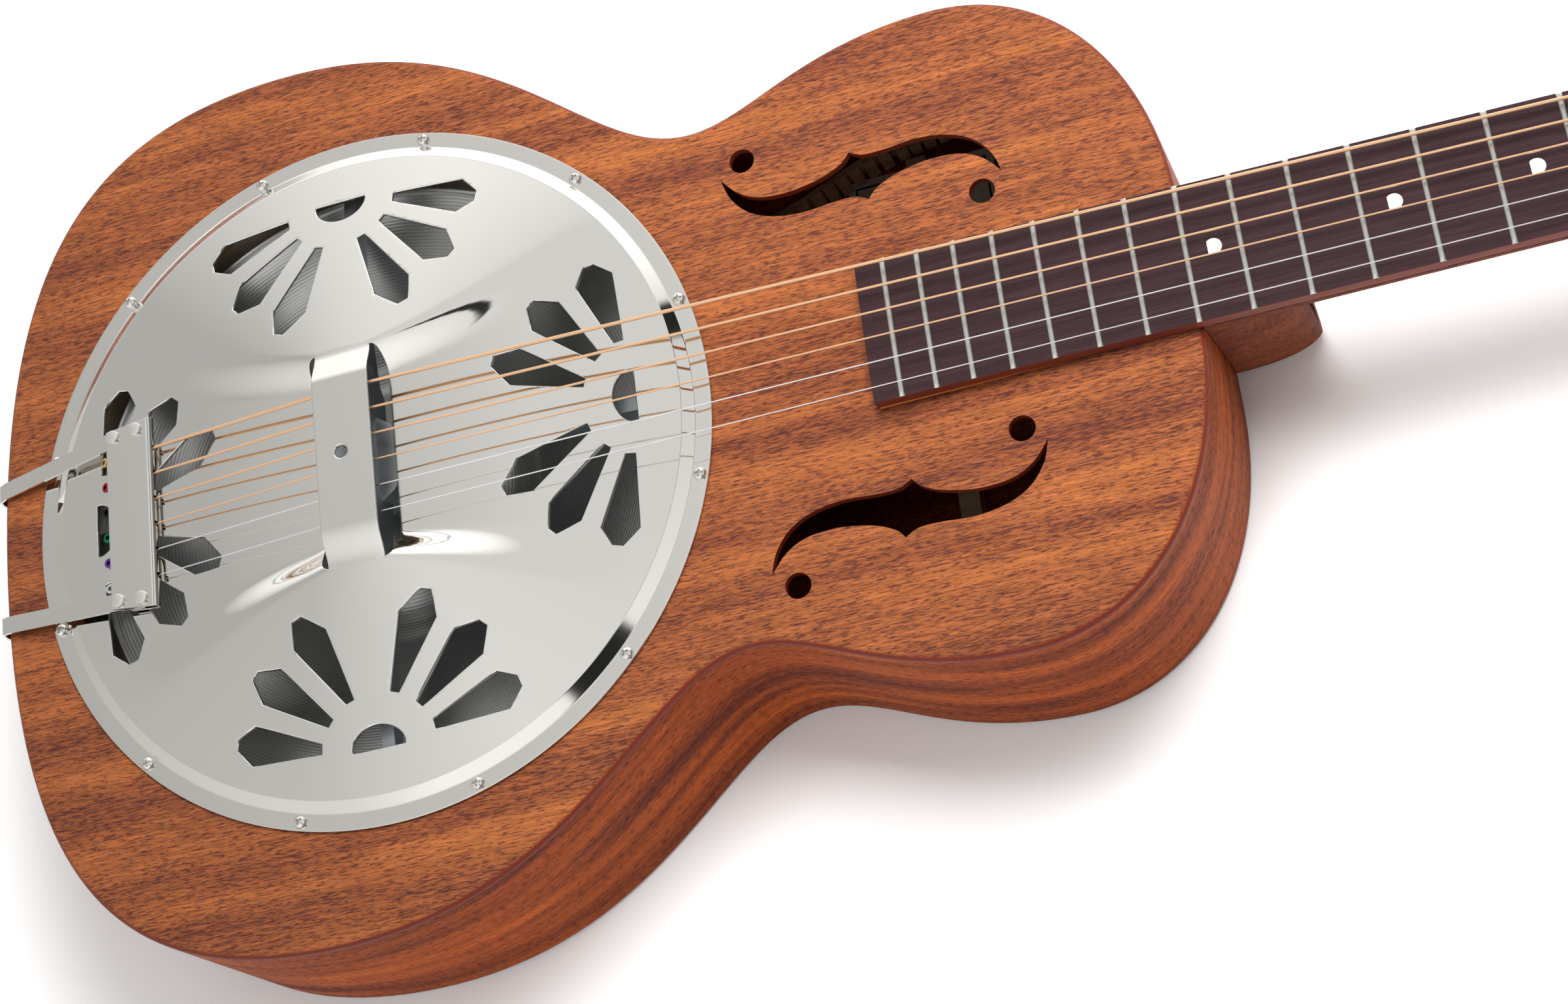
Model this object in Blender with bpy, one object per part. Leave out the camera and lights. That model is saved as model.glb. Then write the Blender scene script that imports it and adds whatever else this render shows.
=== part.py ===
"""A twelve-fret resonator guitar with a wooden body, lying on its back.

Shapes are drawn in millimetres and turned into metres as they become objects.
+X runs from the tail to the headstock, +Y to the bass side, +Z out of the top.
The origin is on the back, straight below the centre of the resonator.
"""
from math import atan2, cos, hypot, pi, radians, sin, sqrt

import bmesh
import bpy
from mathutils import Matrix, Vector

# ---- Driving dimensions, in millimetres ----
MM = 0.001
GAP = 0.3                      # air left between neighbouring pieces

SCALE_LENGTH = 635.0           # nut to saddle, by the fret rule
FRETS = 19
BRIDGE_OFFSET = 3.5            # from the fret rule's end to the resonator's centre

BODY_DEPTH = 88.0
TOP_THICK = 3.0
BACK_THICK = 2.8
SIDE_THICK = 2.4
LINING_THICK = 5.0
LINING_HIGH = 10.0
TAIL_X = -155.0
NECK_X = 314.0                 # the twelfth fret stands here
LOWER_BOUT = (-27.0, 177.6)    # where the half outline is widest, and how wide
WAIST = (141.0, 102.0)
UPPER_BOUT = (236.0, 125.2)
SHOULDER_Y = 24.0              # half the flat on which the heel sits
BLOCK_HALF = 28.0              # half the width of the neck and tail blocks
NECK_BLOCK_LONG = 34.0
TAIL_BLOCK_LONG = 15.0
TAIL_CURVE = 1.3               # how far the tail end curves in over the block
PIN_Z = 44.0                   # the end pin's height
PIN_HOLE_RADIUS = 4.0

COVER_RADIUS = 137.6
FLANGE_INNER = 131.6
STEP_INNER = 126.5
STEP_HIGH = 3.4                # top of the rolled step over the soundboard
CHANNEL_HIGH = 9.6             # the sunk lanes under the strings
LOBE_SLOPE = 0.152             # rise of the bass and treble lobes towards the middle
COVER_THICK = 1.0
PALM_HALF_WIDE = 11.2
PALM_FLAT_HALF = 29.0
PALM_HIGH = 20.4
WINDOW_MIDDLE_X = 1.1          # the palm rest and the opening below it stand a little off centre
WINDOW_HALF_X = 16.8
WINDOW_HALF_Y = 43.0
SCREW_CIRCLE = 134.4
SCREW_COUNT = 12
SCREW_FIRST_ANGLE = 15.0
SCREW_HOLE_RADIUS = 1.5

CONE_RADIUS = 125.5
CONE_SHEET = 0.8
WELL_INNER = 126.4
WELL_OUTER = 132.8
LEDGE_INNER = 119.0
LEDGE_TOP = 79.0
LEDGE_THICK = 4.0
WELL_WINDOWS = 8
SPIDER_LEGS = 8

NUT_HALF = 23.2                # half widths of the fretboard
BOARD_END_HALF = 27.3
BOARD_END_X = 198.0
BOARD_THICK = 5.6
BOARD_AT_JOINT = 5.8           # fretboard face over the soundboard at the joint
NECK_PITCH = 0.019             # rise of the fretboard towards the bridge
FRET_WIDE = 2.0
FRET_HIGH = 1.0
NUT_THICK = 4.5
NUT_PROUD = 0.9                # nut over the fretboard's face
HEEL_FRONT = 348.0
HEEL_LOW = 4.0
ROD_HALF = 3.3                 # half the width of the truss rod's channel

HEAD_ANGLE = 14.0
HEAD_THICK = 13.5
OVERLAY_THICK = 2.0
POST_SIDE = 21.5
POST_STEPS = (40.0, 85.0, 130.0)
POST_RADIUS = 3.1
POST_HOLE_RADIUS = 3.5
GEAR_RADIUS = 7.0
WORM_RADIUS = 2.6
WORM_AHEAD = GEAR_RADIUS + WORM_RADIUS + GAP
PLATE_THICK = 1.2

STRING_RADII = (0.67, 0.53, 0.43, 0.33, 0.22, 0.17)     # low E to high E
BRIDGE_PITCH = 10.4            # between strings at the saddle
NUT_PITCH = 7.3
SADDLE_STRING_Z = 17.9         # string centres over the soundboard
TAIL_STRING_Z = 10.4
STRING_NAMES = ("low_e", "a", "d", "g", "b", "high_e")

TAILPIECE_REAR = -101.6
TAILPIECE_FRONT = -82.4
TAILPIECE_HIGH = 12.6
TAILPIECE_LOW = 8.3
TAILPIECE_HALF = 36.2          # half its width at the rear
TAILPIECE_FLARE = 2.3          # how much wider each half is at the front
SHEET = 1.0
STRAP_HALF = 3.4

TOP_Z = BODY_DEPTH
TOP_UNDER = TOP_Z - TOP_THICK
INSIDE_LOW = BACK_THICK + GAP
INSIDE_HIGH = TOP_UNDER - GAP
NUT_X = SCALE_LENGTH - BRIDGE_OFFSET
SPIDER_TOP = TOP_Z + 8.6
SPIDER_HUB_LOW = TOP_Z - 12.0


# ---- Materials ----
def material(name, colour, roughness, metallic=0.0):
    made = bpy.data.materials.new(name)
    made.use_nodes = True
    shader = made.node_tree.nodes["Principled BSDF"]
    shader.inputs["Base Color"].default_value = (*colour, 1.0)
    shader.inputs["Roughness"].default_value = roughness
    shader.inputs["Metallic"].default_value = metallic
    made.diffuse_color = (*colour, 1.0)
    return made


# ---- Mesh helpers, all in millimetres ----
def solid(name, bm, finish, origin=(0.0, 0.0, 0.0)):
    """Turn a bmesh drawn in millimetres into an object whose origin is the given point."""
    bmesh.ops.recalc_face_normals(bm, faces=bm.faces)
    bmesh.ops.translate(bm, verts=bm.verts, vec=-Vector(origin))
    bmesh.ops.scale(bm, verts=bm.verts, vec=(MM, MM, MM))
    mesh = bpy.data.meshes.new(name)
    bm.to_mesh(mesh)
    bm.free()
    mesh.materials.append(finish)
    mesh.shade_smooth()
    mesh.set_sharp_from_angle(angle=radians(35))
    made = bpy.data.objects.new(name, mesh)
    made.location = Vector(origin) * MM
    bpy.context.scene.collection.objects.link(made)
    return made


def loft(bm, sections, closed=False):
    """Skin a row of loops that hold the same number of points, and cap the two ends."""
    rows = [[bm.verts.new(point) for point in section] for section in sections]
    count = len(rows[0])
    pairs = list(zip(rows, rows[1:]))
    if closed:
        pairs.append((rows[-1], rows[0]))
    for near, far in pairs:
        for i in range(count):
            j = (i + 1) % count
            bm.faces.new((near[i], near[j], far[j], far[i]))
    if not closed:
        bm.faces.new(rows[0])
        bm.faces.new(rows[-1])
    return bm


def prism(bm, outline, low, high):
    """A flat outline in X and Y, drawn up from one height to another."""
    return loft(bm, [[(x, y, z) for x, y in outline] for z in (low, high)])


def box(bm, low, high):
    (x0, y0, z0), (x1, y1, z1) = low, high
    return prism(bm, [(x0, y0), (x1, y0), (x1, y1), (x0, y1)], z0, z1)


def turned(bm, profile, steps, centre=(0.0, 0.0), closed=False):
    """Turn (radius, height) points about an upright axis; radius 0 ends are left as small flats."""
    sections = []
    for radius, height in profile:
        ring = []
        for i in range(steps):
            angle = 2 * pi * i / steps
            ring.append((centre[0] + radius * cos(angle), centre[1] + radius * sin(angle), height))
        sections.append(ring)
    return loft(bm, sections, closed)


def tube(bm, points, radius, sides):
    """A round tube through a few points that lie nearly in line along X."""
    sections = []
    for x, y, z in points:
        ring = []
        for i in range(sides):
            angle = 2 * pi * i / sides
            ring.append((x, y + radius * cos(angle), z + radius * sin(angle)))
        sections.append(ring)
    return loft(bm, sections)


def boolean(target, cutter, operation="DIFFERENCE"):
    """Cut or join with another object, which stays as a hidden guide."""
    step = target.modifiers.new(operation.title(), "BOOLEAN")
    step.object = cutter
    step.operation = operation
    step.solver = "EXACT"
    cutter.hide_render = True
    cutter.display_type = "WIRE"
    return target


def guide(name, bm):
    """A cutter: an object with no finish that only shapes others."""
    return solid(name, bm, bpy.data.materials["wire"])


# ---- The body's outline ----
def bezier(a, b, c, d, steps):
    """Points along a cubic curve, without its last one."""
    points = []
    for i in range(steps):
        t = i / steps
        s = 1.0 - t
        weights = (s ** 3, 3 * s * s * t, 3 * s * t * t, t ** 3)
        points.append(tuple(sum(w * p[k] for w, p in zip(weights, (a, b, c, d))) for k in (0, 1)))
    return points


def half_outline(steps=7):
    """The bass half of the outline, from the tail's centre line to the neck's."""
    (lx, ly), (wx, wy), (ux, uy) = LOWER_BOUT, WAIST, UPPER_BOUT
    tail, shoulder = (TAIL_X, 0.0), (NECK_X, SHOULDER_Y)
    points = bezier(tail, (TAIL_X, 0.70 * ly), (lx - 0.70 * (lx - TAIL_X), ly), (lx, ly), steps + 2)
    points += bezier((lx, ly), (lx + 100.0, ly), (wx - 42.0, wy), (wx, wy), steps)
    points += bezier((wx, wy), (wx + 24.0, wy), (ux - 50.0, uy), (ux, uy), steps)
    points += bezier((ux, uy), (ux + 50.7, uy), (NECK_X, SHOULDER_Y + 51.7), shoulder, steps)
    return points + [shoulder, (NECK_X, 0.0)]


def moved_in(points, distance):
    """The same half outline moved inwards, its two ends kept on the centre line."""
    inner = []
    for i, (x, y) in enumerate(points):
        before = points[max(i - 1, 0)]
        after = points[min(i + 1, len(points) - 1)]
        dx, dy = after[0] - before[0], after[1] - before[1]
        if i == 0:
            dx, dy = 0.0, 1.0
        if i >= len(points) - 2:
            dx, dy = 0.0, -1.0
        long = hypot(dx, dy)
        inner.append((x + distance * dy / long, y - distance * dx / long))
    return inner


def whole_outline():
    half = half_outline()
    return half + [(x, -y) for x, y in reversed(half[1:-1])]


def strip(near, far, side):
    """The band between two half outlines, on the bass (1) or treble (-1) side of the centre line."""
    band = near + far[::-1]
    return [(x, side * max(y, GAP / 2)) for x, y in band]


F_HOLE_CENTRE = (203.0, 65.5)
F_HOLE_HALF = [                # half of the f-hole; the other half is this one turned half round
    (-2.5, 10.4), (2.5, 8.0), (10.7, 7.8), (23.0, 8.6), (34.3, 6.9), (43.4, 2.4), (49.4, -5.0),
    (52.0, -13.0), (46.0, -6.2), (38.0, -2.1), (26.4, -1.1), (14.0, -3.2), (6.0, -6.7)]
F_HOLE_DOTS = ((160.0, 84.2), (246.8, 46.5))
F_HOLE_DOT_RADIUS = 4.8


def f_hole(side):
    cx, cy = F_HOLE_CENTRE
    outline = [(cx + x, cy + y) for x, y in F_HOLE_HALF] + [(cx - x, cy - y) for x, y in F_HOLE_HALF]
    return [(x, side * y) for x, y in outline]


# ---- The coverplate's height and holes ----
def ridge_line(x):
    """How far out the lobes start, beside the lanes that the strings run in."""
    return 41.5 + 0.15 * abs(x) + 0.0024 * x * x


def smooth(t):
    t = min(max(t, 0.0), 1.0)
    return t * t * (3.0 - 2.0 * t)


def cover_height(x, y):
    """The coverplate's upper face over the soundboard."""
    r = hypot(x, y)
    if r >= FLANGE_INNER - 0.01:
        return COVER_THICK
    if r > STEP_INNER:
        t = (FLANGE_INNER - r) / (FLANGE_INNER - STEP_INNER)
        return COVER_THICK + (STEP_HIGH - COVER_THICK) * sin(t * pi / 2)
    lane = CHANNEL_HIGH - (CHANNEL_HIGH - STEP_HIGH) * (r / STEP_INNER) ** 2.6
    lobe = STEP_HIGH + LOBE_SLOPE * (STEP_INNER - r)
    wide = 13.0 + 0.15 * max(abs(x) - 20.0, 0.0)
    return lane + (lobe - lane) * smooth((abs(y) - ridge_line(x) + wide) / wide)


def palm_height(y):
    """The palm rest's upper face: flat in the middle, then down to the lobes."""
    edge = cover_height(0.0, WINDOW_HALF_Y)
    along = (abs(y) - PALM_FLAT_HALF) / (WINDOW_HALF_Y - PALM_FLAT_HALF)
    return PALM_HIGH - (PALM_HIGH - edge) * smooth(along)


# One side of a fan, as (distance out along the fan's axis, distance to the side).
PETALS = (
    ((104.5, 22.1), (92.4, 47.8), (95.5, 55.0), (99.4, 56.0), (106.2, 50.7), (107.9, 22.6)),
    ((96.8, 16.6), (74.2, 34.6), (73.0, 44.0), (75.6, 46.5), (85.1, 43.5), (99.0, 18.6)),
    ((91.4, 7.4), (64.0, 14.8), (57.2, 24.0), (58.5, 27.8), (68.6, 28.2), (92.3, 10.4)))
MOON_FLAT = 110.4
MOON_RADIUS = 10.4


def fan_holes():
    """The outlines of one fan's six petals and its half moon, about the +X axis."""
    holes = []
    for petal in PETALS:
        holes.append([(x, y) for x, y in petal])
        holes.append([(x, -y) for x, y in petal])
    moon = []
    for i in range(9):
        angle = pi / 2 + pi * i / 8
        moon.append((MOON_FLAT + 0.8 * MOON_RADIUS * cos(angle), MOON_RADIUS * sin(angle)))
    return holes + [moon]


def screw_places():
    for i in range(SCREW_COUNT):
        angle = radians(SCREW_FIRST_ANGLE + i * 360.0 / SCREW_COUNT)
        yield SCREW_CIRCLE * cos(angle), SCREW_CIRCLE * sin(angle)


# ---- The neck's lines ----
def string_y(number, pitch):
    """How far a string lies from the centre line, the low one first."""
    return pitch * (2.5 - number)


def fret_x(number):
    return SCALE_LENGTH * 2.0 ** (-number / 12.0) - BRIDGE_OFFSET


def board_z(x):
    """The fretboard's face."""
    return TOP_Z + BOARD_AT_JOINT - NECK_PITCH * (x - NECK_X)


def board_half(x):
    return NUT_HALF + (BOARD_END_HALF - NUT_HALF) * (NUT_X - x) / (NUT_X - BOARD_END_X)


def head_point(u, v, w):
    """A point on the tilted headstock: u along it, v to the bass side, w out of its face."""
    angle = radians(HEAD_ANGLE)
    x = NUT_X + NUT_THICK + 2 * GAP + u * cos(angle) + w * sin(angle)
    z = board_z(NUT_X) - 1.5 - u * sin(angle) + w * cos(angle)
    return Vector((x, v, z))


HEAD_TURN = Matrix.Rotation(radians(HEAD_ANGLE), 4, "Y")


def pin_drill(x, long):
    """The hole that the end pin sits in, bored along X."""
    place = Matrix.Translation((x, 0.0, PIN_Z)) @ Matrix.Rotation(pi / 2, 4, "Y")
    bm = bmesh.new()
    bmesh.ops.create_cone(bm, segments=12, radius1=PIN_HOLE_RADIUS, radius2=PIN_HOLE_RADIUS, depth=long,
                          cap_ends=True, matrix=place)
    return bm


# ---- Body ----
def make_body(wood, lining_wood):
    outline = whole_outline()
    half = half_outline()
    solid("back_plate", prism(bmesh.new(), outline, 0.0, BACK_THICK), wood)

    top = solid("top_plate", prism(bmesh.new(), outline, TOP_UNDER, TOP_Z), wood)
    holes = bmesh.new()
    low, high = TOP_UNDER - 1.0, TOP_Z + 1.0
    turned(holes, [(WELL_INNER, low), (WELL_INNER, high)], 48)
    for x, y in screw_places():
        turned(holes, [(SCREW_HOLE_RADIUS, low), (SCREW_HOLE_RADIUS, high)], 6, (x, y))
    for side in (1, -1):
        prism(holes, f_hole(side), low, high)
        for x, y in F_HOLE_DOTS:
            turned(holes, [(F_HOLE_DOT_RADIUS, low), (F_HOLE_DOT_RADIUS, high)], 12, (x, side * y))
    boolean(top, guide("top_holes", holes))

    pin_cutter = guide("end_pin_hole", pin_drill(TAIL_X, 60.0))
    inner = moved_in(half, SIDE_THICK)
    for name, side in (("side_bass", 1), ("side_treble", -1)):
        made = solid(name, prism(bmesh.new(), strip(half, inner, side), INSIDE_LOW, INSIDE_HIGH), wood)
        boolean(made, pin_cutter)

    neck_face = NECK_X - SIDE_THICK - GAP
    tail_face = TAIL_X + SIDE_THICK + GAP + TAIL_CURVE
    solid("neck_block", box(bmesh.new(), (neck_face - NECK_BLOCK_LONG, -BLOCK_HALF, INSIDE_LOW),
                            (neck_face, BLOCK_HALF, INSIDE_HIGH)), lining_wood)
    block = solid("tail_block", box(bmesh.new(), (tail_face, -BLOCK_HALF, INSIDE_LOW),
                                    (tail_face + TAIL_BLOCK_LONG, BLOCK_HALF, INSIDE_HIGH)), lining_wood)
    boolean(block, pin_cutter)

    near = moved_in(half, SIDE_THICK + GAP)
    far = moved_in(half, SIDE_THICK + GAP + LINING_THICK)
    beside = BLOCK_HALF + GAP
    keep = [i for i, (x, y) in enumerate(far) if y > beside and near[i][1] > beside]
    near, far = [near[i] for i in keep], [far[i] for i in keep]
    for side_name, side in (("bass", 1), ("treble", -1)):
        for level, low in (("top", INSIDE_HIGH - LINING_HIGH), ("back", INSIDE_LOW)):
            lining = prism(bmesh.new(), strip(near, far, side), low, low + LINING_HIGH)
            solid(f"lining_{level}_{side_name}", lining, lining_wood)

    solid("top_brace", box(bmesh.new(), (262.0, -92.0, INSIDE_HIGH - 9.5), (269.0, 92.0, INSIDE_HIGH)),
          lining_wood)
    solid("back_brace", box(bmesh.new(), (205.0, -108.0, INSIDE_LOW), (213.0, 108.0, INSIDE_LOW + 10.0)),
          lining_wood)

    ledge_low = LEDGE_TOP - LEDGE_THICK
    profile = [(WELL_OUTER, INSIDE_LOW), (WELL_OUTER, INSIDE_HIGH), (WELL_INNER, INSIDE_HIGH),
               (WELL_INNER, LEDGE_TOP), (LEDGE_INNER, LEDGE_TOP), (LEDGE_INNER, ledge_low),
               (WELL_INNER, ledge_low), (WELL_INNER, INSIDE_LOW)]
    well = solid("soundwell", turned(bmesh.new(), profile, 40, closed=True), lining_wood)
    windows = bmesh.new()
    for i in range(WELL_WINDOWS):
        angle = 2 * pi * (i + 0.5) / WELL_WINDOWS
        place = Matrix.Translation((WELL_OUTER * cos(angle), WELL_OUTER * sin(angle), 38.0))
        place = place @ Matrix.Rotation(angle, 4, "Z") @ Matrix.Diagonal((30.0, 52.0, 44.0, 1.0))
        bmesh.ops.create_cube(windows, size=1.0, matrix=place)
    boolean(well, guide("soundwell_windows", windows))


# ---- Resonator ----
def make_resonator(aluminium, cast, saddle_wood, steel):
    upper = [(CONE_RADIUS, 0.0), (CONE_RADIUS - 8.0, 0.0), (CONE_RADIUS - 11.0, -3.0), (62.0, -24.0),
             (46.0, -26.0), (24.0, -15.0), (9.0, -10.0)]
    rim_z = LEDGE_TOP + GAP
    profile = [(r, rim_z + CONE_SHEET + z) for r, z in upper] + [(r, rim_z + z) for r, z in reversed(upper)]
    cone = turned(bmesh.new(), profile, 32, closed=True)
    solid("cone", cone, aluminium)

    hub = bmesh.new()
    foot_z = rim_z + CONE_SHEET + GAP
    turned(hub, [(16.0, SPIDER_HUB_LOW), (19.0, SPIDER_HUB_LOW + 5.0), (19.0, SPIDER_TOP - 3.0),
                 (16.0, SPIDER_TOP - 2.0)], 16)
    spider = solid("spider", hub, cast)
    bar = bmesh.new()
    loft(bar, [[(x * s, y, z) for x, z in ((-9.5, low), (9.5, low), (7.5, SPIDER_TOP), (-7.5, SPIDER_TOP))]
               for y, s, low in ((-40.0, 0.7, SPIDER_TOP - 6.0), (-26.0, 1.0, SPIDER_TOP - 9.0),
                                 (26.0, 1.0, SPIDER_TOP - 9.0), (40.0, 0.7, SPIDER_TOP - 6.0))])
    boolean(spider, guide("spider_bar", bar), "UNION")
    for i in range(SPIDER_LEGS):
        leg = bmesh.new()
        loft(leg, [[(x, y * wide, z + low) for y, z in ((-1, 0.0), (1, 0.0), (0.7, high), (-0.7, high))]
                   for x, wide, low, high in (
                       (8.0, 5.0, SPIDER_HUB_LOW + 1.0, 8.0), (60.0, 4.2, foot_z + 2.5, 6.5),
                       (113.0, 3.6, foot_z, 5.0), (123.0, 3.4, foot_z, 2.5))])
        bmesh.ops.rotate(leg, verts=leg.verts, matrix=Matrix.Rotation(2 * pi * i / SPIDER_LEGS, 3, "Z"))
        boolean(spider, guide(f"spider_leg_{i + 1}", leg), "UNION")
    slot = bmesh.new()
    box(slot, (-1.9, -30.0, SPIDER_TOP - 5.0), (1.9, 30.0, SPIDER_TOP + 5.0))
    boolean(spider, guide("spider_slot", slot))
    bore = turned(bmesh.new(), [(2.3, SPIDER_HUB_LOW - 5.0), (2.3, SPIDER_TOP + 5.0)], 10)
    boolean(spider, guide("spider_bore", bore))

    for name, low_y, high_y in (("saddle_bass", 4.0, 29.5), ("saddle_treble", -29.5, -4.0)):
        crown = TOP_Z + SADDLE_STRING_Z - STRING_RADII[0] - GAP
        saddle = bmesh.new()
        loft(saddle, [[(-1.5, y, SPIDER_TOP - 4.6), (1.5, y, SPIDER_TOP - 4.6), (1.5, y, crown - 1.5),
                       (0.4, y, crown), (-0.4, y, crown), (-1.5, y, crown - 1.5)]
                      for y in (low_y, high_y)])
        solid(name, saddle, saddle_wood)

    head = [(3.5, SPIDER_TOP + GAP), (3.5, SPIDER_TOP + 1.6), (2.4, SPIDER_TOP + 2.8)]
    made = solid("tension_screw", turned(bmesh.new(), head, 10), steel)
    shank = turned(bmesh.new(), [(1.9, rim_z - 14.0), (1.9, SPIDER_TOP + 1.0)], 10)
    boolean(made, guide("tension_screw_shank", shank), "UNION")


def make_coverplate(nickel):
    """Rings of points run from the window below the palm rest out to the round rim."""
    side = 12
    half_x = [PALM_HALF_WIDE * k / 3.0 for k in range(4)] + [13.0, 14.9, WINDOW_HALF_X]
    step_x = [-x for x in half_x[:0:-1]] + half_x
    step_y = [WINDOW_HALF_Y * (2.0 * i / side - 1.0) for i in range(side + 1)]
    window = [(WINDOW_HALF_X, y) for y in step_y[:-1]] + [(x, WINDOW_HALF_Y) for x in step_x[:0:-1]]
    window += [(-WINDOW_HALF_X, y) for y in step_y[:0:-1]] + [(x, -WINDOW_HALF_Y) for x in step_x[:-1]]
    spread = [(a, 112.0) for a in (0.0, 0.22, 0.45, 0.7, 1.0)]
    spread += [(1.0, r) for r in (STEP_INNER, 129.5, FLANGE_INNER, COVER_RADIUS)]
    rings = []
    for share, radius in spread:
        ring = []
        for i, (wx, wy) in enumerate(window):
            angle = atan2(wy / WINDOW_HALF_Y, wx / WINDOW_HALF_X)
            from_x = WINDOW_MIDDLE_X + wx
            x = from_x + (radius * cos(angle) - from_x) * share
            y = wy + (radius * sin(angle) - wy) * share
            ring.append((x, y, cover_height(x, y)))
        rings.append(ring)

    bm = bmesh.new()
    layers = []
    for drop in (0.0, -COVER_THICK):
        layers.append([[bm.verts.new((x, y, TOP_Z + GAP + z + drop)) for x, y, z in ring] for ring in rings])
    count = len(window)
    for rows in layers:
        for near, far in zip(rows, rows[1:]):
            for i in range(count):
                j = (i + 1) % count
                bm.faces.new((near[i], far[i], far[j], near[j]))
    for k in (0, -1):
        for i in range(count):
            j = (i + 1) % count
            if k == 0 and abs(window[i][0]) <= PALM_HALF_WIDE and abs(window[j][0]) <= PALM_HALF_WIDE:
                continue
            bm.faces.new((layers[0][k][i], layers[0][k][j], layers[1][k][j], layers[1][k][i]))

    band_x = [x for x in step_x if abs(x) <= PALM_HALF_WIDE]
    near = {x: window.index((x, -WINDOW_HALF_Y)) for x in band_x}
    far = {x: window.index((x, WINDOW_HALF_Y)) for x in band_x}
    steps_y = (-39.8, -36.5, -33.0, -PALM_FLAT_HALF, 0.0, PALM_FLAT_HALF, 33.0, 36.5, 39.8)
    sheets = []
    for k, drop in ((0, 0.0), (1, -COVER_THICK)):
        rows = [[layers[k][0][near[x]] for x in band_x]]
        for y in steps_y:
            height = TOP_Z + GAP + palm_height(y) + drop
            rows.append([bm.verts.new((WINDOW_MIDDLE_X + x, y, height)) for x in band_x])
        rows.append([layers[k][0][far[x]] for x in band_x])
        sheets.append(rows)
        for a, b in zip(rows, rows[1:]):
            for i in range(len(band_x) - 1):
                bm.faces.new((a[i], a[i + 1], b[i + 1], b[i]))
    for a, b in zip(range(len(steps_y) + 1), range(1, len(steps_y) + 2)):
        for i in (0, -1):
            bm.faces.new((sheets[0][a][i], sheets[0][b][i], sheets[1][b][i], sheets[1][a][i]))
    cover = solid("coverplate", bm, nickel)

    holes = bmesh.new()
    for quarter in range(4):
        c, s = ((1, 0), (0, 1), (-1, 0), (0, -1))[quarter]
        for hole in fan_holes():
            prism(holes, [(x * c - y * s, x * s + y * c) for x, y in hole], TOP_Z - 2.0, TOP_Z + 30.0)
    for x, y in screw_places():
        turned(holes, [(SCREW_HOLE_RADIUS, TOP_Z - 2.0), (SCREW_HOLE_RADIUS, TOP_Z + 9.0)], 6, (x, y))
    turned(holes, [(2.5, TOP_Z + 15.0), (2.5, TOP_Z + 30.0)], 10)
    boolean(cover, guide("cover_holes", holes))


def make_cover_screws(steel):
    for i, (x, y) in enumerate(screw_places()):
        seat = TOP_Z + 2 * GAP + COVER_THICK
        shape = turned(bmesh.new(), [(0.4, TOP_Z - 8.0), (1.1, TOP_Z - 6.0), (1.1, seat), (2.3, seat),
                                     (2.0, seat + 1.2), (0.8, seat + 1.9)], 8, (x, y))
        solid(f"cover_screw_{i + 1:02d}", shape, steel)


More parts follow.
